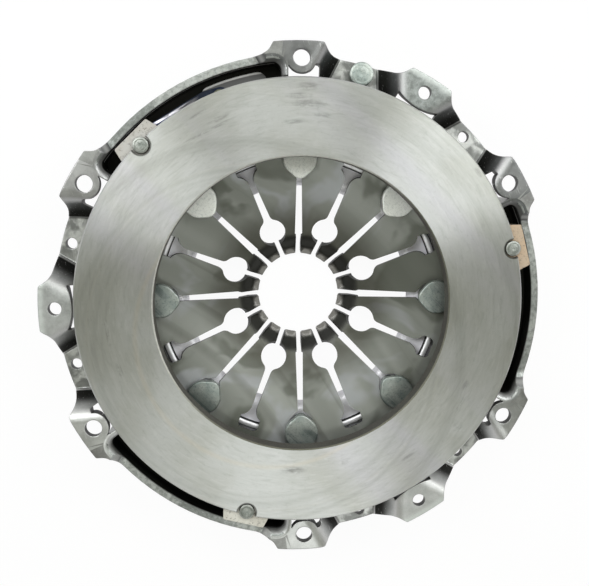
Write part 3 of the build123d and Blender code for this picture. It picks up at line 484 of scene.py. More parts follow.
# %% Edge finishes
def pressed_back():
    steel = Finish("pressed_back", Metallic=1.0)
    mottle = steel.noise(0.08, 4.0, 0.6)
    grain = steel.noise(1.6, 3.0, 0.6)
    drag = steel.noise(1.0, 4.0, 0.65, 0.4, place=steel.vector(steel.x * 0.5, steel.y * 0.5, steel.z * 0.10))
    steel.base(mottle.step(0.35, 0.70), (0.20, 0.20, 0.195), (0.33, 0.335, 0.325))
    steel.layer(drag.step(0.50, 0.74) * 0.32, (0.42, 0.42, 0.41))
    steel.layer(grain.step(0.50, 0.8) * 0.3, (0.09, 0.09, 0.085))
    steel.set(roughness=0.32 + mottle * 0.12 + grain * 0.06)
    steel.bump(mottle * 0.5 + grain * 0.25, 0.06, 0.6)
    return steel.material


def cut_edge():
    edge = Finish("cut_edge", Metallic=1.0)
    radius, cosine, sine = edge.polar()
    streak = edge.noise(1.0, 3.0, 0.6, place=edge.vector(cosine * 60.0, sine * 60.0, radius * 1.2))
    patch = edge.noise(0.40, 5.0, 0.7)
    cloud = edge.noise(0.03, 2.0, 0.5)
    inner = radius.step(WALL_IN_R + 0.7, WALL_IN_R + 0.1)
    edge.base(cloud.step(0.40, 0.60), (0.22, 0.235, 0.225), (0.40, 0.415, 0.40))
    edge.layer(streak.step(0.45, 0.70) * 0.4, (0.52, 0.54, 0.53))
    edge.layer(patch.step(0.42, 0.62) * 0.55, (0.13, 0.14, 0.13))
    edge.layer(inner * 0.8, (0.05, 0.05, 0.05))
    edge.set(roughness=0.38 + patch * 0.15)
    edge.bump(streak + patch, 0.08, 0.4)
    return edge.material


# Painted shade for walls of cuts, on the cover and on the spring's cut edges.
def shaded_wall_finish():
    wall = Finish("shaded_wall_finish", Metallic=1.0)
    grain = wall.noise(1.0, 3.0, 0.6)
    wall.base(grain, (0.05, 0.05, 0.05), (0.13, 0.13, 0.125))
    wall.set(roughness=0.42 + grain * 0.2)
    return wall.material


BACK, EDGE, SHADED_WALL = pressed_back(), cut_edge(), shaded_wall_finish()
print("other cover finishes:", BACK.name, EDGE.name, SHADED_WALL.name)

# %% [markdown]
# ## Spring steel and blued straps
# The diaphragm spring is tempered in oil and shot-peened, which leaves a soft warm grey with smoky
# bands across the fingers, painted shade towards the tips and a painted highlight on their crests.
# The wire ring is bright steel, painted black with shade at its sides. The strap leaves are thin
# blued spring steel, with a painted highlight along the outer edge.

# %% Spring finishes
def spring_steel():
    steel = Finish("spring_steel", Metallic=0.95)
    radius = steel.polar()[0]
    smoke = steel.noise(0.026, 3.0, 0.5, 0.5)
    cloud = steel.noise(0.04, 3.0, 0.5, place=steel.slant(90.0))
    blot = steel.noise(0.10, 3.0, 0.5, 0.3, place=steel.slant(30.0))
    peen = steel.noise(2.4, 3.0, 0.55)
    steel.base(cloud.step(0.36, 0.64), (0.180, 0.188, 0.170), (0.265, 0.275, 0.255))
    steel.layer(smoke.step(0.50, 0.59) * 0.62, (0.068, 0.072, 0.056))
    steel.layer(smoke.step(0.44, 0.34) * 0.6, (0.34, 0.35, 0.37))
    steel.layer(blot.step(0.54, 0.64) * 0.40, (0.085, 0.085, 0.072))
    # Painted shade: darker towards the inner fingers and nearly black where they bend down to the tips; a
    # painted highlight on the crests of the tips.
    shade = radius + smoke * 16.0 - 8.0
    steel.layer(shade.step(60.0, 40.0) * 0.75, (0.058, 0.056, 0.044))
    steel.layer(radius.step(36.5, 33.5) * 0.70, (0.04, 0.04, 0.037))
    steel.layer(radius.step(28.0, 26.0) * 0.75, (0.26, 0.25, 0.24))
    steel.set(roughness=0.38 + peen * 0.08 + smoke * 0.06)
    steel.bump(peen, 0.025)
    return steel.material


def wire_steel():
    wire = Finish("wire_steel", Metallic=0.6)
    grain = wire.noise(0.8, 3.0, 0.5)
    # Painted shade: the sides of the wire are painted black.
    side_shade = (wire.polar()[0] - FULCRUM_R).math("ABSOLUTE").step(1.3, 1.9)
    bright = wire.mix(grain, (0.72, 0.72, 0.74), (0.93, 0.93, 0.95))
    wire.base(side_shade, bright, (0.02, 0.02, 0.02))
    wire.set(roughness=0.36 + grain * 0.12)
    return wire.material


def blued_steel():
    steel = Finish("blued_steel", Metallic=1.0)
    across, along = steel.attribute("across"), steel.attribute("along")
    smoke = steel.noise(0.10, 3.0, 0.5)
    grain = steel.noise(2.0, 2.0, 0.5)
    steel.base(smoke.step(0.35, 0.65), (0.022, 0.028, 0.048), (0.05, 0.06, 0.09))
    # Painted highlight along the outer edge of the leaf.
    edge_highlight = across.band(0.84, 0.14).step(0.1, 0.7) * along.step(0.02, 0.25) * along.step(0.99, 0.80)
    steel.layer(edge_highlight, (0.66, 0.65, 0.72))
    steel.set(roughness=0.28 + grain * 0.12)
    return steel.material


SPRING, WIRE, BLUED = spring_steel(), wire_steel(), blued_steel()
print("spring finishes:", SPRING.name, WIRE.name, BLUED.name)

# %% [markdown]
# ## Zinc
# The rivets are zinc plated, pale and greenish with small dull flecks; the spacer heads on the
# +Y side are painted nearly white, a painted highlight. The tool that closes the strap rivets
# leaves rings on their heads, so their finish reads the distance from the rivet's own middle,
# which is stored on the mesh; the very edge of those heads gets painted shade.

# %% Zinc finishes
def zinc():
    coat = Finish("zinc", Metallic=0.85)
    radius = coat.polar()[0]
    fleck = coat.noise(0.8, 5.0, 0.72, 0.8)
    cloud = coat.noise(0.10, 2.0, 0.5)
    stain = coat.noise(0.30, 4.0, 0.62, place=coat.slant(60.0))
    # Painted highlight on the spacer heads on the +Y side.
    lit_upper_heads = coat.y.step(30.0, 45.0) * radius.step(92.0, 88.0)
    coat.base(cloud.step(0.38, 0.62), (0.33, 0.375, 0.355), (0.47, 0.505, 0.475))
    coat.layer(lit_upper_heads * 0.85, (0.97, 0.98, 0.94))
    coat.layer(fleck.step(0.48, 0.66) * (0.6 - lit_upper_heads * 0.35), (0.16, 0.20, 0.19))
    outward = radius.step(74.0, 79.0) * radius.step(90.0, 86.0) * (1.0 - lit_upper_heads)
    coat.layer(stain.step(0.48, 0.60) * outward * 0.6, (0.10, 0.13, 0.125))
    coat.set(roughness=0.34 + fleck * 0.25 + lit_upper_heads * 0.12)
    coat.bump(fleck, 0.12, 0.3)
    return coat.material


def rivet_zinc():
    coat = Finish("rivet_zinc", Metallic=0.85)
    rho = coat.attribute("rho")
    fleck = coat.noise(0.9, 4.0, 0.7, 0.5)
    cloud = coat.noise(0.30, 3.0, 0.6)
    coat.base(cloud.step(0.35, 0.65), (0.25, 0.27, 0.25), (0.40, 0.415, 0.39))
    coat.layer(fleck.step(0.46, 0.66) * 0.5, (0.13, 0.145, 0.13))
    coat.layer(rho.band(2.9, 0.55) * 0.55, (0.16, 0.17, 0.15))
    coat.layer(rho.step(1.3, 0.0) * 0.4, (0.16, 0.19, 0.17))
    coat.layer(rho.band(3.8, 0.4) * 0.3, (0.66, 0.67, 0.63))
    # Painted shade on the very edge of each head.
    coat.layer(rho.step(4.0, 4.3) * 0.6, (0.10, 0.10, 0.09))
    cover_head = coat.z.step(-9.0, -10.4) * coat.z.step(-13.6, -13.0)
    coat.layer(cover_head * 0.9, (0.17, 0.175, 0.12))
    coat.set(roughness=0.36 + fleck * 0.22)
    coat.bump(fleck, 0.10, 0.2)
    return coat.material


ZINC, RIVET = zinc(), rivet_zinc()
print("materials so far:", len(bpy.data.materials))

# %% [markdown]
# ## A smooth skin from a solid
# The cover, the plate and the spacer rivets have their true shape, but arrive as loose triangles.
# A copy is merged and shaded smooth except across real edges. Normals are stored before the merge
# and given back after it, so every fold stays where the press tool put it.

# %% Skin of a solid
def add_piece(name, mesh, body, slot_name, *nodes):
    """Link a finished mesh as a piece of the object."""
    piece = link_new(name, mesh)
    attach(piece, body)
    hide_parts(*nodes)
    print(name, len(mesh.polygons), "faces")
    return piece


def smooth_skin(node_name, materials, choose=None, sharp_deg=32.0):
    """Merged copy of a solid with its true normals; choose(centre, normal, radii) picks a finish."""
    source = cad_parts[node_name].data
    mesh = source.copy()
    mesh.name = node_name + "_skin"
    kept = mesh.attributes.new("kept_normal", "FLOAT_VECTOR", "CORNER")
    kept.data.foreach_set("vector", [value for corner in source.corner_normals for value in corner.vector])
    if "custom_normal" in mesh.attributes:
        mesh.attributes.remove(mesh.attributes["custom_normal"])
    work = bmesh.new()
    work.from_mesh(mesh)
    bmesh.ops.remove_doubles(work, verts=work.verts, dist=0.004 * MM)
    bmesh.ops.dissolve_degenerate(work, edges=work.edges, dist=0.002 * MM)
    mesh.materials.clear()
    for material in materials:
        mesh.materials.append(material)
    for face in work.faces:
        face.smooth = True
        radii = [math.hypot(vert.co.x, vert.co.y) / MM for vert in face.verts]
        finish = choose(face.calc_center_median() / MM, face.normal, radii) if choose else materials[0]
        face.material_index = materials.index(finish)
    work.to_mesh(mesh)
    work.free()
    mesh.set_sharp_from_angle(angle=math.radians(sharp_deg))
    flat = [0.0] * (3 * len(mesh.loops))
    mesh.attributes["kept_normal"].data.foreach_get("vector", flat)
    mesh.attributes.remove(mesh.attributes["kept_normal"])
    mesh.normals_split_custom_set([flat[i:i + 3] for i in range(0, len(flat), 3)])
    return mesh


# %% [markdown]
# ## Friction plate
# Each triangle gets its finish by where it lies and faces: ground on the friction face, painted
# highlight and shade on the broken edge of the bore, milled on the tops of the ears, cast everywhere else.

# %% Friction plate
FACE_Z, EAR_TOP_Z = 3.5, 0.5


def plate_material(centre, normal, radii):
    """Finish of a triangle of the plate."""
    radius = math.hypot(centre.x, centre.y)
    high = centre.z > FACE_Z - 0.9
    if high and 0.3 < normal.z < 0.95 and radius < 82:
        return BORE_EDGE_LIGHT
    if high and normal.z > 0.5:
        return GROUND
    if normal.z > 0.9 and abs(centre.z - EAR_TOP_Z) < 0.2 and radius > 105:
        return EAR
    return CAST


plate_skin = smooth_skin("pressure_plate", [GROUND, CAST, EAR, BORE_EDGE_LIGHT], plate_material)
add_piece("friction_plate", plate_skin, "plate", "cast_iron", "pressure_plate")

# %% [markdown]
# ## Pressed cover
# The cover has four finishes: the pressed front, the back, the cut edge on top of the pocket walls,
# and the walls of the cuts, nearly black with painted shade. The three-lobed wave tells the ends of
# a pocket from its middle.

# %% Pressed cover
BACK_Z = SHELF_Z - SHEET


def cover_material(centre, normal, radii):
    """Finish of a triangle of the cover."""
    radius = math.hypot(centre.x, centre.y)
    third = math.remainder(math.atan2(centre.y, centre.x), math.tau / 3)
    sector = math.cos(3 * third)
    away = math.copysign(1.0, third) * (centre.x * normal.y - centre.y * normal.x) / radius
    on_wall = min(radii) > WALL_IN_R - 0.3 and max(radii) < WALL_OUT_R + 0.3
    if on_wall and -7.3 < centre.z < -0.3 and normal.z > 0.75 and sector > 0.1:
        return EDGE
    if -0.1 < sector < 0.34 and abs(normal.z) < 0.6 and centre.z < -3.9 and away > 0.3:
        return BACK
    if normal.z < 0.2 and centre.z < BACK_Z and radius > 110:
        return BACK
    if abs(normal.z) < 0.2 and centre.z > BACK_Z - 0.3 and radius > 110 and sector < 0.24:
        return SHADED_WALL
    if normal.z < -0.05 or radius > WALL_OUT_R - 0.5 and sector > 0.2:
        return BACK
    return PRESSED


cover_skin = smooth_skin("cover", [PRESSED, BACK, EDGE, SHADED_WALL], cover_material)
add_piece("pressed_cover", cover_skin, "cover", "cover_steel", "cover")

# %% [markdown]
# ## Flat sheets with holes
# The spring and the straps are flat blanks, cut first and bent afterwards. They are made the same
# way here: an outline filled with triangles, then each point lifted to the height of the bent
# sheet. Solidify stays live, so that the sheet keeps its thickness when the clutch is worked.

# %% Outlines and blanks
def rounded(points, step_deg=15.0):
    """Outline from (x, y, radius) points, each corner rounded by its radius."""
    path = []
    for i, (x, y, radius) in enumerate(points):
        if radius == 0:
            path.append(Vector((x, y)))
            continue
        here = Vector((x, y))
        before = (Vector(points[i - 1][:2]) - here).normalized()
        after = (Vector(points[(i + 1) % len(points)][:2]) - here).normalized()
        half = before.angle(after) / 2
        reach = radius / math.tan(half)
        centre = here + (before + after).normalized() * radius / math.sin(half)
        start, end = here + before * reach - centre, here + after * reach - centre
        sweep = start.angle_signed(end)
        count = max(2, math.ceil(abs(math.degrees(sweep)) / step_deg))
        path += [centre + start.copy() @ Matrix.Rotation(sweep * k / count, 2) for k in range(count + 1)]
    return path


def inside(point, outline):
    """True if a point lies inside a closed outline."""
    result = False
    for a, b in zip(outline, outline[1:] + outline[:1]):
        if (a.y > point.y) != (b.y > point.y):
            if point.x < a.x + (point.y - a.y) * (b.x - a.x) / (b.y - a.y):
                result = not result
    return result


def gap_to(point, outline):
    """Distance from a point to an outline."""
    best = math.inf
    for a, b in zip(outline, outline[1:] + outline[:1]):
        share = geometry.intersect_point_line(point.to_3d(), a.to_3d(), b.to_3d())[1]
        share = min(1.0, max(0.0, share))
        best = min(best, (point - a.lerp(b, share)).length)
    return best


def blank(outline, inner, margin):
    """Triangles inside an outline, with extra points inside it; returns points and faces."""
    keep = [p for p in inner if inside(p, outline) and gap_to(p, outline) > margin]
    edges = [(i, (i + 1) % len(outline)) for i in range(len(outline))]
    loop = list(range(len(outline)))
    result = geometry.delaunay_2d_cdt(outline + keep, edges, [loop], 1, 1e-6)
    return result[0], result[2]


def at_angle(x, y, angle):
    """A point turned clockwise about the axis."""
    cosine, sine = math.cos(angle), math.sin(angle)
    return (x * cosine + y * sine, y * cosine - x * sine)


def finished(work, name, *materials):
    """Turn a work mesh into a real one."""
    mesh = bpy.data.meshes.new(name)
    work.to_mesh(mesh)
    work.free()
    for material in materials:
        mesh.materials.append(material)
    return mesh


def face_up(work):
    """Turn all faces of an open sheet upwards."""
    bmesh.ops.recalc_face_normals(work, faces=work.faces)
    if sum(face.normal.z for face in work.faces) < 0:
        bmesh.ops.reverse_faces(work, faces=work.faces)
    for face in work.faces:
        face.smooth = True


def thicken(piece, thickness_mm, edge_mm):
    """Live thickness and broken edges for a sheet."""
    solid = piece.modifiers.new("thickness", "SOLIDIFY")
    solid.thickness = thickness_mm * MM
    solid.offset = 0.0
    solid.use_even_offset = True
    bevel = piece.modifiers.new("broken_edges", "BEVEL")
    bevel.width = edge_mm * MM
    bevel.segments = 2
    bevel.limit_method = "ANGLE"
    bevel.angle_limit = math.radians(55)
    bevel.harden_normals = True
    print(piece.name, thickness_mm, "mm thick")
    return solid


# %% [markdown]
# ## Diaphragm spring
# Sixteen fingers on one cone. Every second slot opens into the window of a spacer rivet, and the
# slots between have a round hole that keeps the steel from cracking, then a window of their own.
# Half a finger pair is drawn once, then mirrored and turned eight times.

# %% Spring measures
TIP_R, RIM_R = 24.0, 104.0
WINDOW_R, HOLE_R = 83.0, 40.0
HALF_STEP = math.radians(22.5)
SPRING_SHEET = 2.6


def spring_height(radius):
    """Height of the middle of the spring sheet: four straight flanks with eased bends."""
    slopes = [math.tan(math.radians(angle)) for angle in (14.0, 17.5, 47.0, 8.0)]
    z = FULCRUM_Z + (radius - FULCRUM_R) * slopes[0]
    for place, outer, inner, ease in zip((FULCRUM_R, 34.5, 27.8), slopes, slopes[1:], (0.8, 1.9, 1.7)):
        beyond = place - radius
        if beyond > -ease:
            bend = beyond if beyond > ease else (beyond + ease) ** 2 / (4 * ease)
            z -= bend * (inner - outer)
    return z


print("spring from", round(spring_height(TIP_R), 1), "at the tips to", round(spring_height(RIM_R), 1), "mm")

# %% [markdown]
# The outline runs in along a rivet slot, across the tip, out along the next slot and round the
# rim. Inside it are circles of points that crowd together where the sheet bends.

# %% Spring blank
def bow(x, y, across, up, start, end, count):
    """Points of an arc about x, y; its angles are measured from the Y direction."""
    angles = [start + (end - start) * k / count for k in range(count + 1)]
    return [(x + across * math.sin(a), y + up * math.cos(a), 0) for a in angles]


def half_finger_outline():
    """Outline between the centre lines of a rivet slot and of a keyhole slot."""
    neck, root, tip, shoulder, hole, fillet = 1.55, 2.2, 1.45, 6.0, 7.6, 3.5
    rivet_side = [(0, WINDOW_R, 0), (6.5, WINDOW_R, 2.6), (6.5, 72.7, 1.5), (neck, 68.4, 1.5),
                  (root, 35.0, 0.4), (tip, 35.0, 0.4), (tip, TIP_R, 0.9)]
    flare_y, rise, flare = 70.0, 6.6, shoulder - neck
    flare_r = (rise ** 2 + flare ** 2) / (2 * flare)
    heights = [rise * k / 8 for k in range(9)]
    flared = [(-(neck + flare_r - math.sqrt(flare_r ** 2 - y ** 2)), flare_y + y, 0) for y in heights]
    side = root - (root - neck) * hole / (flare_y - HOLE_R)
    lean = math.asin((side + fillet) / (hole + fillet))
    low = math.pi - math.asin(tip / hole)
    middle_y = HOLE_R + (hole + fillet) * math.cos(lean)
    round_hole = bow(0, HOLE_R, -hole, hole, low, lean, 14)
    round_hole += bow(-side - fillet, middle_y, fillet, -fillet, lean, math.pi / 2, 5)[1:]
    keyhole_side = [(-tip, TIP_R, 0.9)] + round_hole + flared + [(-shoulder, WINDOW_R, 2.6), (0, WINDOW_R, 0)]
    turned_side = [(*at_angle(x, y, HALF_STEP), radius) for x, y, radius in keyhole_side]
    start = math.atan2(tip, TIP_R)
    inner_arc = bow(0, 0, TIP_R, TIP_R, start, HALF_STEP - start, 8)[1:-1]
    rings = [WINDOW_R + (RIM_R - WINDOW_R) * k / 8 for k in range(1, 9)]
    outer = [(*at_angle(0, radius, HALF_STEP), 0) for radius in rings]
    rim = bow(0, 0, RIM_R, RIM_R, HALF_STEP, 0, 12)[1:-1]
    up = [(0, radius, 0) for radius in rings[::-1]]
    return rounded(rivet_side + inner_arc + turned_side + outer + rim + up)


def half_finger_inner():
    """Points of those circles."""
    radii = [24.9, 25.8, 26.6, 27.3, 28.0, 28.7, 29.5, 30.6, 31.7, 32.7, 33.5, 34.2, 34.9, 35.6, 36.6]
    radii += [38.5 + 2.5 * k for k in range(16)] + [79.3, 80.2, 81.0, 81.8]
    radii += [WINDOW_R + (RIM_R - WINDOW_R) * k / 8 for k in range(8)]
    points = []
    for radius in radii:
        count = max(6, round(HALF_STEP * radius / 2.4))
        angles = [HALF_STEP * k / count for k in range(count + 1)]
        points += [Vector((radius * math.sin(a), radius * math.cos(a))) for a in angles]
    return points


print("outline:", len(half_finger_outline()), "points, inner points:", len(half_finger_inner()))

# %% [markdown]
# The rim of the spring follows the plate while the fulcrum stays. Here the spring is one piece,
# carried with the cover.

# %% Diaphragm
def spring_sheet():
    """The whole cone, from sixteen copies of the half blank."""
    verts, faces = blank(half_finger_outline(), half_finger_inner(), 0.45)
    work = bmesh.new()
    for i in range(8):
        for flip in (1, -1):
            new = []
            for p in verts:
                x, y = at_angle(p.x * flip, p.y, 2 * HALF_STEP * i)
                new.append(work.verts.new((x * MM, y * MM, spring_height(math.hypot(x, y)) * MM)))
            for face in faces:
                work.faces.new([new[k] for k in (face if flip == 1 else face[::-1])])
    bmesh.ops.remove_doubles(work, verts=work.verts, dist=0.02 * MM)
    face_up(work)
    return finished(work, "spring_sheet", SPRING, SHADED_WALL)


spring = add_piece("diaphragm", spring_sheet(), "cover", "spring_steel", "diaphragm_spring")
# The cut walls of the spring get the painted shade of the wall finish.
thicken(spring, SPRING_SHEET, 0.28).material_offset_rim = 1
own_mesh(spring)

# %% [markdown]
# ## Strap leaves
# Three leaves to a pack, and each one bends into a flat S between its rivets. Its sides close in
# to a round end about each rivet. The rivets fill its two holes, so the blank is left whole there.
# It crosses from the cover to the plate.

# %% Strap leaf
SPAN = math.radians(23.4)
LENGTH = 2 * STRAP_R * math.sin(SPAN / 2)
STRAP_MID_R = STRAP_R * math.cos(SPAN / 2)
LOW_Z, HIGH_Z, LEAF = SHELF_Z, -9.8, 0.6
BLEND_Z = -12.0


def strap_leaf(level, turn_deg):
    """Leaf centred on +Y with its plate end towards -X, then turned to its place."""
    half, width, end_r, taper, clamped = LENGTH / 2, 7.7, 5.6, 6.5, 8.5
    corners = [Vector((sx * (half - taper), sy * width)) for sx in (-1, 1) for sy in (-1, 1)]
    for x in (-half, half):
        corners += [Vector((x + end_r * math.cos(a), end_r * math.sin(a)))
                    for a in (math.tau * k / 32 for k in range(32))]
    outline = [corners[i] for i in geometry.convex_hull_2d(corners)]
    inner = [Vector((-half - 4 + i * 1.8, -6.6 + j * 2.2)) for i in range(34) for j in range(7)]
    verts, faces = blank(outline, inner, 0.7)
    flat = half - clamped
    shares = [min(1.0, max(0.0, (flat - p.x) / (2 * flat))) for p in verts]
    work = bmesh.new()
    new = []
    for p, share in zip(verts, shares):
        ease = share * share * (3.0 - 2.0 * share)
        z = LOW_Z + (HIGH_Z - LOW_Z) * ease + (level + 0.5) * LEAF
        x, y = at_angle(p.x, p.y + STRAP_MID_R, -math.radians(turn_deg))
        new.append(work.verts.new((x * MM, y * MM, z * MM)))
    for face in faces:
        work.faces.new([new[k] for k in face])
    face_up(work)
    mesh = finished(work, "leaf", BLUED)
    across = mesh.attributes.new("across", "FLOAT", "POINT")
    across.data.foreach_set("value", [max(0.0, p.y / width) for p in verts])
    along = mesh.attributes.new("along", "FLOAT", "POINT")
    along.data.foreach_set("value", shares)
    return mesh


print("strap rivets", round(LENGTH, 1), "mm apart, rise", round(HIGH_Z - LOW_Z, 1), "mm")

# %% Strap packs
for pack, ear in enumerate(ear_angles, 1):
    middle = ear - math.degrees(SPAN) / 2 - 90
    ends = [at_angle(x, STRAP_MID_R, -math.radians(middle)) for x in (LENGTH / 2, -LENGTH / 2)]
    start, end = [(x * MM, y * MM, BLEND_Z * MM) for x, y in ends]
    for level in range(3):
        leaf = link_new(f"leaf_{pack}_{level + 1}", strap_leaf(level, middle))
        thicken(leaf, LEAF, 0.1)
        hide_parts(f"strap_{pack}_leaf_{level + 1}")
        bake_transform(leaf)

# %% [markdown]
# ## A ring of copies
# Rivets repeat round the axis, which is a job for Geometry Nodes: one rivet is modelled where it
# belongs, and a small tree turns copies of it about the axis. The copies are baked to one mesh.

# %% Ring of copies
def ring_of(source, count, start_deg, material, name):
    """Copies of a mesh turned about the axis, baked to one mesh."""
    holder = link_new(name + "_holder", bpy.data.meshes.new(name + "_holder"))
    pattern = link_new(name + "_pattern", source)
    asked = {"Count": ("Int", count), "Start": ("Float", math.radians(start_deg)),
             "Rivet": ("Object", pattern), "Finish": ("Material", material)}
    tree = bpy.data.node_groups.new("ring_of_copies", "GeometryNodeTree")
    names = {}
    for label, (kind, value) in asked.items():
        socket = tree.interface.new_socket(label, in_out="INPUT", socket_type="NodeSocket" + kind)
        names[label] = socket.identifier
    tree.interface.new_socket("Geometry", in_out="OUTPUT", socket_type="NodeSocketGeometry")

    board = Board(tree)
    given = board.node("NodeGroupInput").outputs
    index = Signal(board, board.node("GeometryNodeInputIndex").outputs[0])
    step = index.sum_of("DIVIDE", math.tau, given["Count"])
    angle = index.math("MULTIPLY_ADD", step, given["Start"])
    turned = board.node("ShaderNodeCombineXYZ", {}, {"Z": angle})
    points = board.node("GeometryNodePoints", {}, {"Count": given["Count"]})
    rivet = board.node("GeometryNodeObjectInfo", {}, {"Object": given["Rivet"]})
    copies = board.node("GeometryNodeInstanceOnPoints", {}, {
        "Points": points.outputs[0], "Instance": rivet.outputs["Geometry"], "Rotation": turned.outputs[0]})
    real = board.node("GeometryNodeRealizeInstances", {}, {0: copies.outputs[0]})
    dressed = board.node("GeometryNodeSetMaterial", {}, {
        "Geometry": real.outputs[0], "Material": given["Finish"]})
    board.node("NodeGroupOutput", {}, {0: dressed.outputs[0]})

    modifier = holder.modifiers.new("ring", "NODES")
    modifier.node_group = tree
    for label, (kind, value) in asked.items():
        modifier[names[label]] = value
    bpy.context.view_layer.update()
    graph = bpy.context.evaluated_depsgraph_get()
    mesh = bpy.data.meshes.new_from_object(holder.evaluated_get(graph))
    bpy.data.objects.remove(holder)
    bpy.data.objects.remove(pattern)
    mesh.name = name
    mesh.set_sharp_from_angle(angle=math.radians(35))
    print(name, "x", count)
    return mesh


# %% [markdown]
# ## Rivets
# A rivet is turned like a lathe part. Each point keeps its distance from the rivet's own middle
# for the finish to read.

# %% Lathe
def revolve(profile, middle_y, name, steps=48):
    """Closed lathe shape from (radius, z) points, about an upright line at 0, middle_y."""
    work = bmesh.new()
    rho = work.verts.layers.float.new("rho")
    loops = []
    for radius, z in profile:
        if radius == 0:
            loops.append([work.verts.new((0.0, middle_y * MM, z * MM))])
            continue
        loops.append([work.verts.new((radius * math.cos(math.tau * k / steps) * MM,
                                      (middle_y + radius * math.sin(math.tau * k / steps)) * MM, z * MM))
                      for k in range(steps)])
        for vert in loops[-1]:
            vert[rho] = radius
    for a, b in zip(loops, loops[1:]):
        for k in range(steps):
            ring = [a[k % len(a)], a[(k + 1) % len(a)], b[(k + 1) % len(b)], b[k % len(b)]]
            work.faces.new(list(dict.fromkeys(ring))).smooth = True
    bmesh.ops.recalc_face_normals(work, faces=work.faces)
    return finished(work, name)


def rivet_profile(head_r, head_top, head_low, shank_r, tail_top, tail_r, tail_low):
    """Profile of a set rivet: low domed head, shank, and the head closed by the press."""
    dome = 0.18
    return [(0, head_top - 0.12), (0.35, head_top - 0.04), (head_r * 0.60, head_top - 0.02),
            (head_r * 0.66, head_top - 0.12), (head_r * 0.72, head_top - 0.02),
            (head_r - 0.55, head_top - dome), (head_r - 0.12, head_top - dome - 0.3),
            (head_r, head_top - dome - 0.7), (head_r, head_low + 0.2), (head_r - 0.2, head_low),
            (shank_r, head_low), (shank_r, tail_top), (tail_r - 0.2, tail_top),
            (tail_r, tail_top - 0.3), (tail_r - 0.25, tail_low + 0.8), (tail_r - 1.1, tail_low + 0.15),
            (tail_r * 0.5, tail_low), (0, tail_low)]


# %% [markdown]
# The strap rivets stand through the ears of the plate and the pads of the cover. A rivet is turned
# on the Y axis, so 90 degrees are taken off the angle of its ring.

# %% Rivets
plate_profile = rivet_profile(4.3, 2.8, EAR_TOP_Z, 3.0, HIGH_Z, 4.7, -12.0)
cover_profile = rivet_profile(4.3, -10.9, -13.2, 3.0, BACK_Z, 4.7, -21.2)
strap_angle = math.degrees(SPAN)
for body, profile, turn_deg in (("plate", plate_profile, 0.0), ("cover", cover_profile, strap_angle)):
    rivet = revolve(profile, STRAP_R, body + "_rivet")
    rivets = ring_of(rivet, 3, EAR_ANGLE - turn_deg - 90, RIVET, body + "_rivets")
    add_piece(body + "_rivets", rivets, body, "plated_rivet", *[f"{body}_strap_rivet_{i}" for i in (1, 2, 3)])

balance_profile = rivet_profile(6.5, -12.0, SHELF_Z, 2.9, BACK_Z, 4.5, -20.6)
balance = ring_of(revolve(balance_profile, 128.0, "balance"), 1, 75 - 90, ZINC, "balance_weight")
add_piece("balance_weight", balance, "cover", "plated_rivet", "balance_rivet")

spacers = ring_of(smooth_skin("spacer_rivet_1", [ZINC]), 8, 0, ZINC, "spacer_heads")
add_piece("spacer_heads", spacers, "cover", "spacer_steel", *[f"spacer_rivet_{i}" for i in range(1, 9)])

# %% [markdown]
# ## Wire ring
# The ring that the spring tips on is one round wire, bent to a circle and welded.

# %% Wire ring
def wire_circle(steps=160, sides=16):
    """Round wire in a circle about the axis."""
    work = bmesh.new()
    loops = []
    for i in range(steps):
        a = math.tau * i / steps
        loop = []
        for k in range(sides):
            b = math.tau * k / sides
            radius = FULCRUM_R + WIRE_R * math.cos(b)
            loop.append(work.verts.new((radius * math.cos(a) * MM, radius * math.sin(a) * MM,
                                        (RING_Z + WIRE_R * math.sin(b)) * MM)))
        loops.append(loop)
    for i in range(steps):
        a, b = loops[i], loops[(i + 1) % steps]
        for k in range(sides):
            work.faces.new([a[k], b[k], b[(k + 1) % sides], a[(k + 1) % sides]]).smooth = True
    bmesh.ops.recalc_face_normals(work, faces=work.faces)
    return finished(work, "wire_ring", WIRE)


add_piece("wire_ring", wire_circle(), "cover", "wire_steel", "fulcrum_ring")

# %% [markdown]
# ## Floor
# The part lies on a white table inside a round white backdrop. Both show nearly white to the
# camera and to the metal, but keep a share of their own shade, and with it a soft shadow.

# %% Floor
ROOM, WALL_TOP = 4.0, 2.0  # half the table's width and the height of the backdrop, in metres
BACKDROP_R, TURNS = 3.9, 64


def stage_piece(name, verts, faces):
    """A white thing that isn't part of the object."""
    mesh = bpy.data.meshes.new(name)
    mesh.from_pydata(verts, [], faces)
    mesh.materials.append(white)
    piece = link_new(name, mesh)
    print(name, len(faces), "faces")


white = bpy.data.materials.new("table")
white.use_nodes = True
board = Board(white.node_tree)
paint = board.node("ShaderNodeBsdfPrincipled", {}, {"Base Color": (0.9, 0.9, 0.9, 1.0), "Roughness": 0.7})
glow = board.node("ShaderNodeEmission", {}, {"Color": (1.0, 1.0, 1.0, 1.0)})
ray = board.node("ShaderNodeLightPath").outputs
seen = Signal(board, ray["Is Camera Ray"]).math("MAXIMUM", ray["Is Glossy Ray"])
seen = seen.math("MAXIMUM", ray["Is Transmission Ray"]) * 0.94
surface = board.node("ShaderNodeMixShader", {}, {0: seen, 1: paint.outputs[0], 2: glow.outputs[0]})
board.node("ShaderNodeOutputMaterial", {}, {"Surface": surface.outputs[0]})

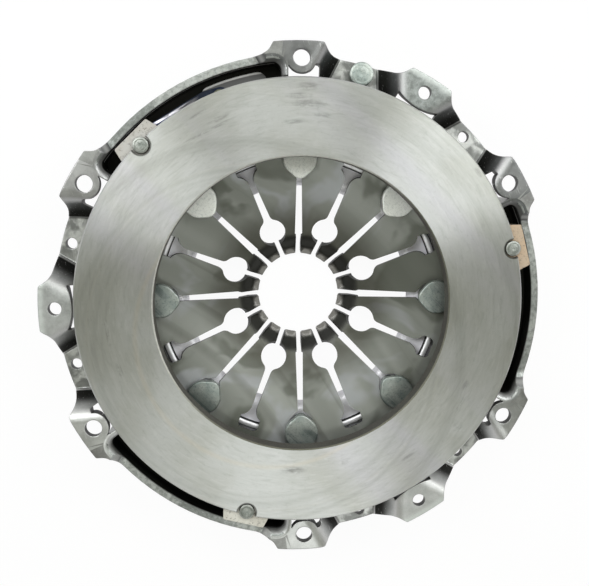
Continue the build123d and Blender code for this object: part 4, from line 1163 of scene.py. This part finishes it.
floor_z = cad_box[0][2] - 0.05 * MM
corners = [(x, y, floor_z) for x, y in ((-ROOM, -ROOM), (ROOM, -ROOM), (ROOM, ROOM), (-ROOM, ROOM))]
stage_piece("table", corners, [(0, 1, 2, 3)])
turns = [math.tau * k / TURNS for k in range(TURNS)]
rims = [(BACKDROP_R * math.cos(a), BACKDROP_R * math.sin(a), z) for z in (floor_z, WALL_TOP) for a in turns]
panes = [(k, k + TURNS, (k + 1) % TURNS + TURNS, (k + 1) % TURNS) for k in range(TURNS)]
stage_piece("backdrop", rims, panes)

# %% [markdown]
# ## World and lamps
# The sky is brightest straight above, so that the folds of the cover have something dark at the
# sides to reflect. Four soft panels look at the part from a metre away: one to the right, one to
# the left, one behind the top edge of the picture and a weaker one in front.

# %% World and lamps
world = bpy.data.worlds.new("studio")
scene.world = world
world.use_nodes = True
board = Board(world.node_tree)
place = board.node("ShaderNodeTexCoord").outputs["Generated"]
up = Signal(board, board.node("ShaderNodeSeparateXYZ", {}, {0: place}).outputs["Z"])
sky = board.node("ShaderNodeBackground", {}, {
    "Color": (0.99, 1.0, 0.84, 1.0), "Strength": up.step(0.05, 0.90, 0.10, 0.37)})
board.node("ShaderNodeOutputWorld", {}, {"Surface": sky.outputs[0]})


def lamp(name, azimuth, tilt, size, brightness, distance=1.0):
    """A soft panel that looks at the part: its direction, its size and how bright it looks."""
    data = bpy.data.lights.new(name, "AREA")
    data.shape = "RECTANGLE"
    data.size, data.size_y = size
    data.energy = brightness * math.pi * size[0] * size[1]
    data.color = (0.98, 1.0, 1.0)
    item = link_new(name, data)
    a, t = math.radians(azimuth), math.radians(tilt)
    place = Vector((math.sin(t) * math.cos(a), math.sin(t) * math.sin(a), math.cos(t))) * distance
    item.location = place
    item.rotation_euler = (-place).to_track_quat("-Z", "Y").to_euler()


lamp("right_panel", 34.0, 44.0, (0.54, 0.5), 4.9)
lamp("left_panel", 147.0, 46.0, (0.46, 0.5), 6.0)
lamp("front_panel", 275.0, 28.0, (0.42, 0.6), 1.75)
lamp("back_panel", 95.0, 40.0, (0.56, 0.4), 3.3)
